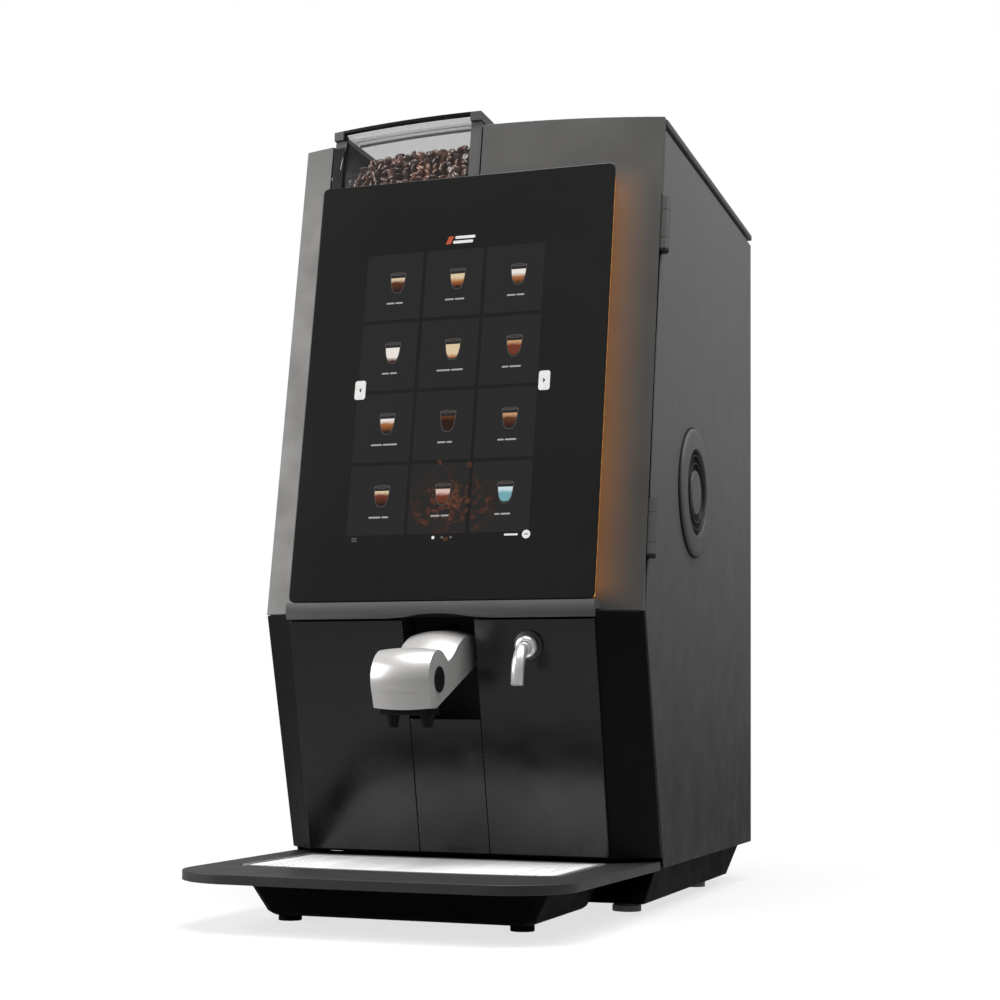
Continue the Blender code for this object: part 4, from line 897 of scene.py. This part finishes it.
def cut(obj, cutter):
    modifier = obj.modifiers.new("cut", "BOOLEAN")
    modifier.operation = "DIFFERENCE"
    modifier.solver = "EXACT"
    modifier.object = cutter
    graph = bpy.context.evaluated_depsgraph_get()
    mesh = bpy.data.meshes.new_from_object(obj.evaluated_get(graph))
    obj.modifiers.clear()
    obj.data = mesh
    bpy.data.objects.remove(cutter)


def spout(looks):
    """Silver cover whose head swells like a barrel across its width, and whose arm is crowned."""
    sections = []
    for x in spread(-SPOUT_HALF, SPOUT_HALF, 22):
        crown = 1 - (x / SPOUT_HALF) ** 2
        section = []
        for y, z, head in spout_side():
            swell = 1 + 0.075 * crown * head
            forward = 0.0035 * crown * head * max(0.0, (SPOUT_HEAD_Y - y) / SPOUT_RADIUS)
            lift = 0.0045 * crown if z > 0.210 and head == 0 else 0.0
            high = SPOUT_HEAD_Z + (z - SPOUT_HEAD_Z) * swell + lift
            section.append((x, SPOUT_HEAD_Y + (y - SPOUT_HEAD_Y) * swell - forward, high))
        sections.append(section)
    bm = loft_bmesh(sections)
    round_edges(bm, 0.0011, 3, 50)
    cover = from_bmesh("spout_shell", bm, looks["silver_paint"])
    low = (-0.0205, SPOUT_HEAD_Y - 0.0150, SPOUT_FOOT_Z - 0.01)
    high = (0.0205, SPOUT_HEAD_Y + 0.0163, 0.1958)
    cut(cover, from_bmesh("nozzle_pocket", box_bmesh(low, high), looks["silver_paint"]))
    shade(cover, 38)
    piece(cover, "spout", "spout_cover", "spout_cover")
    profile = [
        (0, 0.0008),
        (0.0060, 0.0008),
        (0.0090, 0.0012),
        (0.0100, 0.0012),
        (0.0106, 0.0006),
        (0.0106, 0.0003),
        (0, 0.0003),
    ]
    for side, sign in (("left", -1), ("right", 1)):
        centre = (sign * SPOUT_HALF, SPOUT_HEAD_Y, SPOUT_HEAD_Z)
        bm = disc_bmesh(profile, centre, (sign, 0, 0), 48)
        disc = from_bmesh("spout_disc_" + side, bm, looks["black_plastic"], 30)
        piece(disc, "spout", "spout_cap_" + side, "spout_cap_" + side)


def tap_path():
    out = Vector((0, -1, -PANEL_LEAN)).normalized()
    root = Vector((TAP_X, panel_y(TAP_Z), TAP_Z))
    points = [root + out * 0.0004, root + out * 0.0130]
    step = 0.0222 * math.radians(5)
    for angle in spread(16.5, 81.5, 13):
        turn = math.radians(angle)
        points.append(points[-1] + Vector((0, -math.cos(turn), -math.sin(turn))) * step)
    points.append(points[-1] + Vector((0, -0.10, -1)) * 0.0115)
    return points


def tap(looks):
    """Chrome tube with an open mouth and a rolled collar where it leaves the flange."""
    path = tap_path()
    across = Vector((1, 0, 0))

    def ring(index, radius):
        before = path[max(index - 1, 0)]
        after = path[min(index + 1, len(path) - 1)]
        normal = (after - before).normalized().cross(across)
        return [path[index] + radius * (across * math.cos(t) + normal * math.sin(t)) for t in turns(28)]

    last = len(path) - 1
    rings = [ring(index, TAP_RADIUS) for index in range(len(path))]
    rings.append(ring(last, TAP_RADIUS - 0.0008))
    rings.append(ring(last - 1, TAP_RADIUS - 0.0010))
    tube = from_bmesh("tap_spout", loft_bmesh(rings), looks["chrome"], 50)
    piece(tube, "door", "tap_tube", "tap_tube")
    out = Vector((0, -1, -PANEL_LEAN)).normalized()
    root = Vector((TAP_X, panel_y(TAP_Z), TAP_Z))
    collar = [
        (0.0056, 0.0118),
        (0.0068, 0.0120),
        (0.0080, 0.0114),
        (0.0088, 0.0104),
        (0.0092, 0.0092),
        (0.0092, 0.0066),
        (0.0056, 0.0066),
    ]
    obj = from_bmesh("tap_collar", turned_bmesh(collar, root, out, 48), looks["chrome"], 30)
    piece(obj, "door", "tap_flange")
    flange = [
        (0.0058, 0.0066),
        (0.0094, 0.0064),
        (0.0096, 0.0058),
        (0.0098, 0.0040),
        (0.0118, 0.0030),
        (0.0124, 0.0020),
        (0.0126, 0.0003),
        (0.0058, 0.0003),
    ]
    obj = from_bmesh("tap_base", turned_bmesh(flange, root, out, 48), looks["dark_coat"], 30)
    piece(obj, "door", "tap_flange", "tap_flange")


def vent(looks):
    """Round intake grille: a raised rim, thin rings over a black opening, a middle disc, and a black ring
    round the rim as painted shadow.
    """
    centre = (HALF_WIDTH, VENT_Y, VENT_Z)
    out = (1, 0, 0)
    rim = [
        (0.0396, 0.0004),
        (0.0396, 0.0036),
        (0.0402, 0.0044),
        (0.0414, 0.0047),
        (0.0550, 0.0042),
        (0.0574, 0.0034),
        (0.0584, 0.0022),
        (0.0582, 0.0004),
    ]
    obj = from_bmesh("vent_rim", turned_bmesh(rim, centre, out, 96), looks["side_coat_painted_shade"], 32)
    piece(obj, "cabinet", "side_vent", "side_vent")
    back = [(0, 0.0008), (0.0410, 0.0008), (0.0410, -0.0008), (0, -0.0008)]
    # Painted shadow: a thin black ring under the rim's outer edge stands for the shadow gap round the grille.
    rim_shadow_ring = [(0.0580, 0.0003), (0.0599, 0.0003), (0.0599, 0.0010), (0.0580, 0.0014)]
    parts = [
        ("vent_recess", disc_bmesh(back, centre, out, 64), "rubber", 30),
        ("vent_rim_shadow", turned_bmesh(rim_shadow_ring, centre, out, 96), "rubber", 30),
    ]
    for index, radius in enumerate((0.0272, 0.0342)):
        ring = [
            (radius - 0.0006, 0.0008),
            (radius + 0.0006, 0.0008),
            (radius + 0.0004, 0.0034),
            (radius - 0.0004, 0.0034),
        ]
        parts.append((f"vent_ring_{index + 1}", turned_bmesh(ring, centre, out, 80), "dark_coat", 32))
    disc = [(0, 0.0038), (0.0180, 0.0038), (0.0196, 0.0035), (0.0204, 0.0026), (0.0204, 0.0008), (0, 0.0008)]
    parts.append(("vent_disc", disc_bmesh(disc, centre, out, 64), "side_coat_painted_shade", 32))
    for name, bm, look, smooth in parts:
        piece(from_bmesh(name, bm, looks[look], smooth), "cabinet", "side_vent")


def back_screws(looks):
    """Pan-head screws with a round socket, along the edges of the back panel."""
    low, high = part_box("back_panel")
    profile = [
        (0, 0.0004),
        (0.0011, 0.0004),
        (0.0013, 0.0011),
        (0.0022, 0.0010),
        (0.0030, 0.0006),
        (0.0032, 0.0002),
        (0, 0.0002),
    ]
    heights = spread(low.z + 0.012, high.z - 0.012, 3)
    places = [(x, z) for x in (low.x + 0.009, high.x - 0.009) for z in heights]
    places += [(0, heights[0]), (0, heights[-1])]
    for index, (x, z) in enumerate(places):
        bm = disc_bmesh(profile, (x, high.y, z), (0, 1, 0), 32)
        obj = from_bmesh(f"back_screw_{index + 1}", bm, looks["zinc"], 40)
        piece(obj, "cabinet", "back_panel")


DRAIN_RADIUS = 0.0017
DRAIN_PITCH = 0.0088


def tray_insert(looks):
    """Steel insert with a pressed rim and rows of drain holes at its ends."""
    low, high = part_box("drip_grille")
    outline = tray_outline(0.1336, 0.1340, CHIN_Y - 0.128, 0.009, CHIN_Y + 0.019, 0.012)
    holes = []
    for sign in (-1, 1):
        for column in range(3):
            for row in range(13):
                y = low.y + 0.020 + row * DRAIN_PITCH + (DRAIN_PITCH / 2 if column == 1 else 0)
                holes.append(circle(DRAIN_RADIUS, 10, (sign * (0.1130 - 0.0076 * column), y)))
    slot = rounded(-0.014, 0.014, high.y - 0.0125, high.y - 0.0105, 0.0009, 3)
    matrix = Matrix.Translation((0, 0, low.z))
    bm = plate_bmesh([outline, slot, *holes], 0.0007, matrix)
    obj = from_bmesh("insert_sheet", bm, looks["insert_steel"])
    piece(obj, "tray_insert", "drip_grille", "drip_grille")
    inner = tray_outline(0.1296, 0.1300, CHIN_Y - 0.124, 0.009, CHIN_Y + 0.015, 0.009)
    rim_matrix = Matrix.Translation((0, 0, low.z + 0.0007))
    rim = plate_bmesh([outline, inner], high.z - low.z - 0.0007, rim_matrix)
    round_edges(rim, 0.0002, 2, 40)
    piece(from_bmesh("insert_rim", rim, looks["grey_plastic"], 40), "tray_insert", "drip_grille")


def tray_outline(half_front, half_back, front_middle, bow_depth, back, radius):
    """Outline with a bowed front edge and round front corners."""
    right = [(x, front_middle + bow_depth * (x / half_front) ** 2) for x in spread(0, half_front - radius, 8)]
    corner_y = front_middle + bow_depth + radius
    for angle in spread(-82, 0, 6):
        turn = math.radians(angle)
        right.append((half_front - radius + radius * math.cos(turn), corner_y + radius * math.sin(turn)))
    right.append((half_back, back))
    return right + [(-x, y) for x, y in reversed(right) if x > 0]


# --- Beans and hopper -------------------------------------------------------------------------------

BEAN_HALVES = (0.0053, 0.0038, 0.0027)
# Spacing of the beans behind the window, and of those on top of the heap
STACK_PITCH_X = 0.0072
STACK_PITCH_Z = 0.0056
HEAP_PITCH_X = 0.0079
HEAP_PITCH_Y = 0.0068


def bean_points():
    """One roasted bean: an egg, flattened on one side, with a curved crease along the flat."""
    bm = bmesh.new()
    bmesh.ops.create_uvsphere(bm, u_segments=14, v_segments=9, radius=1)
    for vertex in bm.verts:
        x, y, z = vertex.co.z, vertex.co.x, vertex.co.y
        if z > 0:
            z *= 0.55
            crease = math.exp(-(((y - 0.10 * math.sin(2.4 * x)) / 0.16) ** 2))
            z -= 0.42 * crease * (1 - 0.6 * x * x)
        vertex.co = Vector((x * BEAN_HALVES[0], y * BEAN_HALVES[1], z * BEAN_HALVES[2]))
    return bm


def heap_top(x, y):
    """Height of the beans: nearly level, a little lower to the left, and gone at the left wall."""
    across = (x - HOPPER_LEFT) / (HOPPER_RIGHT - HOPPER_LEFT)
    rise = min(1.0, max(0.0, (across - 0.05) / 0.16))
    lump = 0.0030 * noise.noise(Vector((x * 45, y * 45, 0)))
    return 0.6440 + 0.0240 * rise + 0.0045 * across - 0.02 * max(0.0, y - 0.02) + lump


def bean_places():
    """Centres of the beans that can be seen: a stack behind the window, and the top of the heap."""
    margin = 0.0085
    places = []
    x = HOPPER_LEFT + margin
    while x < HOPPER_RIGHT - margin:
        z = 0.6405
        while z < heap_top(x, -0.08):
            y = front_y(x, z) + 0.0038 + random.uniform(0.0062, 0.0085)
            places.append((x + random.uniform(-0.0012, 0.0012), y, z))
            z += STACK_PITCH_Z
        x += STACK_PITCH_X
    y = front_y(0, 0.66) + 0.020
    row = 0
    while y < HOPPER_BACK - margin:
        x = HOPPER_LEFT + margin + (0.004 if row % 2 else 0.0)
        while x < HOPPER_RIGHT - margin:
            if y > front_y(x, 0.66) + 0.014:
                jitter = Vector((random.uniform(-0.0015, 0.0015), random.uniform(-0.0015, 0.0015), 0))
                places.append(Vector((x, y, heap_top(x, y) + random.uniform(-0.001, 0.0025))) + jitter)
            x += HEAP_PITCH_X
        y += HEAP_PITCH_Y
        row += 1
    return places


def beans(looks):
    random.seed(23)
    single = bean_points()
    shape = bpy.data.meshes.new("bean")
    single.to_mesh(shape)
    single.free()
    bm = bmesh.new()
    for place in bean_places():
        roll = Matrix.Rotation(random.uniform(0, 2 * math.pi), 4, "X")
        tip = Matrix.Rotation(random.uniform(-0.9, 0.9), 4, "Y")
        turn = Matrix.Rotation(random.uniform(0, 2 * math.pi), 4, "Z")
        size = Matrix.Scale(random.uniform(0.88, 1.08), 4)
        start = len(bm.verts)
        bm.from_mesh(shape)
        bm.verts.ensure_lookup_table()
        matrix = Matrix.Translation(place) @ turn @ tip @ roll @ size
        bmesh.ops.transform(bm, matrix=matrix, verts=bm.verts[start:])
    look = Look("roasted_bean", Coat_Weight=0.5, Coat_Roughness=0.2, Specular_IOR_Level=0.6)
    stops = [(0.1, srgb(40, 21, 15)), (0.5, srgb(78, 44, 32)), (0.9, srgb(132, 86, 62))]
    look.feed("Base Color", look.ramp(look.cells(95).outputs["Distance"], stops))
    look.feed("Roughness", look.scaled(look.noise(400, 3), 0.24, 0.42))
    look.bump(look.noise(1500, 3), 0.35, 0.0002)
    obj = from_bmesh("coffee_beans", bm, look.material, 60)
    obj.modifiers.clear()
    piece(obj, "cabinet", "hopper_housing")
    bed = bmesh.new()
    bmesh.ops.create_grid(bed, x_segments=24, y_segments=28, size=1)
    for vertex in bed.verts:
        x = HOPPER_LEFT + 0.0030 + (vertex.co.x + 1) / 2 * (HOPPER_RIGHT - HOPPER_LEFT - 0.0060)
        near = front_y(x, 0.655) + 0.0135
        y = near + (vertex.co.y + 1) / 2 * (HOPPER_BACK - 0.0030 - near)
        vertex.co = Vector((x, y, heap_top(x, y) - 0.0035))
    lowered = bmesh.ops.extrude_face_region(bed, geom=bed.faces[:])["geom"]
    for vertex in lowered:
        if isinstance(vertex, bmesh.types.BMVert):
            vertex.co.z = 0.6366
    piece(from_bmesh("bean_bed", bed, look.material, 30), "cabinet", "hopper_housing")
    bpy.data.meshes.remove(shape)


def hopper(looks):
    """Hopper with a window that reaches up to the lid's thin front rail."""
    openings = (
        ("hopper_housing", "hopper_plastic", 0.0005, (0.68, 0.70, -0.01, 0.0024)),
        ("hopper_lid_frame", "lid_plastic", 0.0006, (0.69, LID_SKIN_Z + 0.0003, -0.02, 0.02)),
    )
    for node, look, width, reach in openings:
        obj = refined(node, looks[look], width, smooth=None)
        cut(obj, from_bmesh("band", bowed_bmesh(WINDOW_LEFT, WINDOW_RIGHT, *reach), looks["rubber"]))
        shade(obj, 40)
    pane = bowed_bmesh(HOPPER_LEFT + 0.0080, HOPPER_RIGHT - 0.0067, 0.6375, 0.6918, 0.0025, 0.0038)
    obj = from_bmesh("window_pane", pane, looks["clear_window"], 30)
    piece(obj, "cabinet", "hopper_window", "hopper_window")
    refined("hopper_lid_pane", looks["clear_pane"], 0.0004)
    refined("lid_hinge", looks["grey_coat"], 0.0005)
    left = WINDOW_LEFT + 0.0006
    right = WINDOW_RIGHT - 0.0006
    for index in range(3):
        near = 0.0035 + 0.0094 * index
        low = 0.6926 + 0.0010 * index
        rib = bowed_bmesh(left, right, low, LID_SKIN_Z, near, near + 0.0088)
        obj = from_bmesh(f"lid_rib_{index + 1}", rib, looks["clear_rib"], 30)
        piece(obj, "hopper_lid", "hopper_lid_pane")
    seal = bowed_bmesh(left, right, 0.6950, LID_SKIN_Z, 0.0316, 0.0324)
    piece(from_bmesh("lid_seal", seal, looks["rubber"], 30), "hopper_lid", "hopper_lid_pane")
    # The left filler is black as painted shade in the gap below the shoulder. The right one keeps the
    # hopper's grey.
    fillers = (
        ("hopper_bezel_right", HOPPER_RIGHT - 0.0008, HOPPER_RIGHT + 0.0011, "hopper_plastic"),
        ("hopper_gap_shade_left", HOPPER_LEFT - 0.0011, HOPPER_LEFT + 0.0008, "rubber"),
    )
    for name, start, end, look in fillers:
        bezel = bowed_bmesh(start, end, 0.6300, 0.6870, 0.0002, 0.0100)
        piece(from_bmesh(name, bezel, looks[look], 30), "cabinet", "hopper_housing")
    stay(looks)


def stay(looks):
    """Thin wire stay that hangs at the left end of the window."""
    head = Vector((HOPPER_LEFT + 0.0112, front_y(HOPPER_LEFT, 0.6910) - 0.0014, 0.6910))
    foot = Vector((HOPPER_LEFT + 0.0076, front_y(HOPPER_LEFT, 0.6640) - 0.0014, 0.6640))
    along = foot - head
    profile = [(0, 0.0), (0.0007, 0.0), (0.0007, along.length), (0, along.length)]
    obj = from_bmesh("lid_stay", disc_bmesh(profile, head, along.normalized(), 16), looks["zinc"], 40)
    piece(obj, "cabinet", "hopper_housing")


# --- Whole machine ----------------------------------------------------------------------------------


def outer_finishes(looks):
    rows = (
        ("side_coat_painted_shade", 0.0008, ("side_panel_left", "side_panel_right", "back_panel")),
        ("grey_coat", 0.0012, ("top_cover",)),
        ("door_paint", 0.0012, ("door_frame",)),
        ("black_satin", 0.0010, ("lower_panel_left", "lower_panel_right", "channel_strip")),
        ("lower_coat", 0.0010, ("door_lower_shell",)),
        ("base_black", 0.0010, ("plinth", "drip_basin")),
        ("black_plastic", 0.0010, ("nozzle_block",)),
        ("dark_coat", 0.0018, ("drip_tray_frame",)),
        ("black_glass", 0.0006, ("touch_glass",)),
        ("amber_light", 0.0002, ("light_strip_left", "light_strip_right")),
    )
    for look, width, nodes in rows:
        for node in nodes:
            refined(node, looks[look], width, 3)
    refined("chin_bar", looks["chin_grey"], 0, smooth=60)
    for where in ("upper", "lower"):
        refined(f"hinge_{where}_cabinet", looks["hinge_coat_" + where], 0.0003)
        refined(f"hinge_{where}_door", looks["hinge_coat_" + where], 0.0003)
    for where in ("front_left", "front_right", "rear_left", "rear_right"):
        refined("levelling_foot_" + where, looks["grey_plastic"], 0.0004)
    refined("cabinet_lock", looks["zinc"], 0.0003)
    refined("mains_inlet", looks["black_plastic"], 0.0004)
    refined("power_rocker", looks["black_plastic"], 0.0003)


def inner_finishes(looks):
    finish(looks["black_plastic"], "spout_carriage", "display_module")
    finish(looks["rubber"], "spout_recess_liner")
    finish(looks["black_plastic"], "fan_frame", "fan_rotor")
    finish(looks["pale_plastic"], "door_liner", "mixing_bowl", "powder_auger", "whipper")
    finish(looks["grey_plastic"], "grinder_housing", "grounds_bin", "water_pump", "brew_chamber")
    finish(looks["steel"], "boiler", "grinder_burr", "brew_piston")
    finish(looks["brass"], "valve_block")
    finish(looks["hose_plastic"], "water_hose")
    finish(looks["clear_canister"], "powder_canister")
    finish(looks["board_green"], "control_board")


camera()
studio()
looks = make_looks()
outer_finishes(looks)
inner_finishes(looks)
spout(looks)
tap(looks)
vent(looks)
back_screws(looks)
tray_insert(looks)
hopper(looks)
beans(looks)
tiles()
drinks()
flying_beans()
screen_marks()
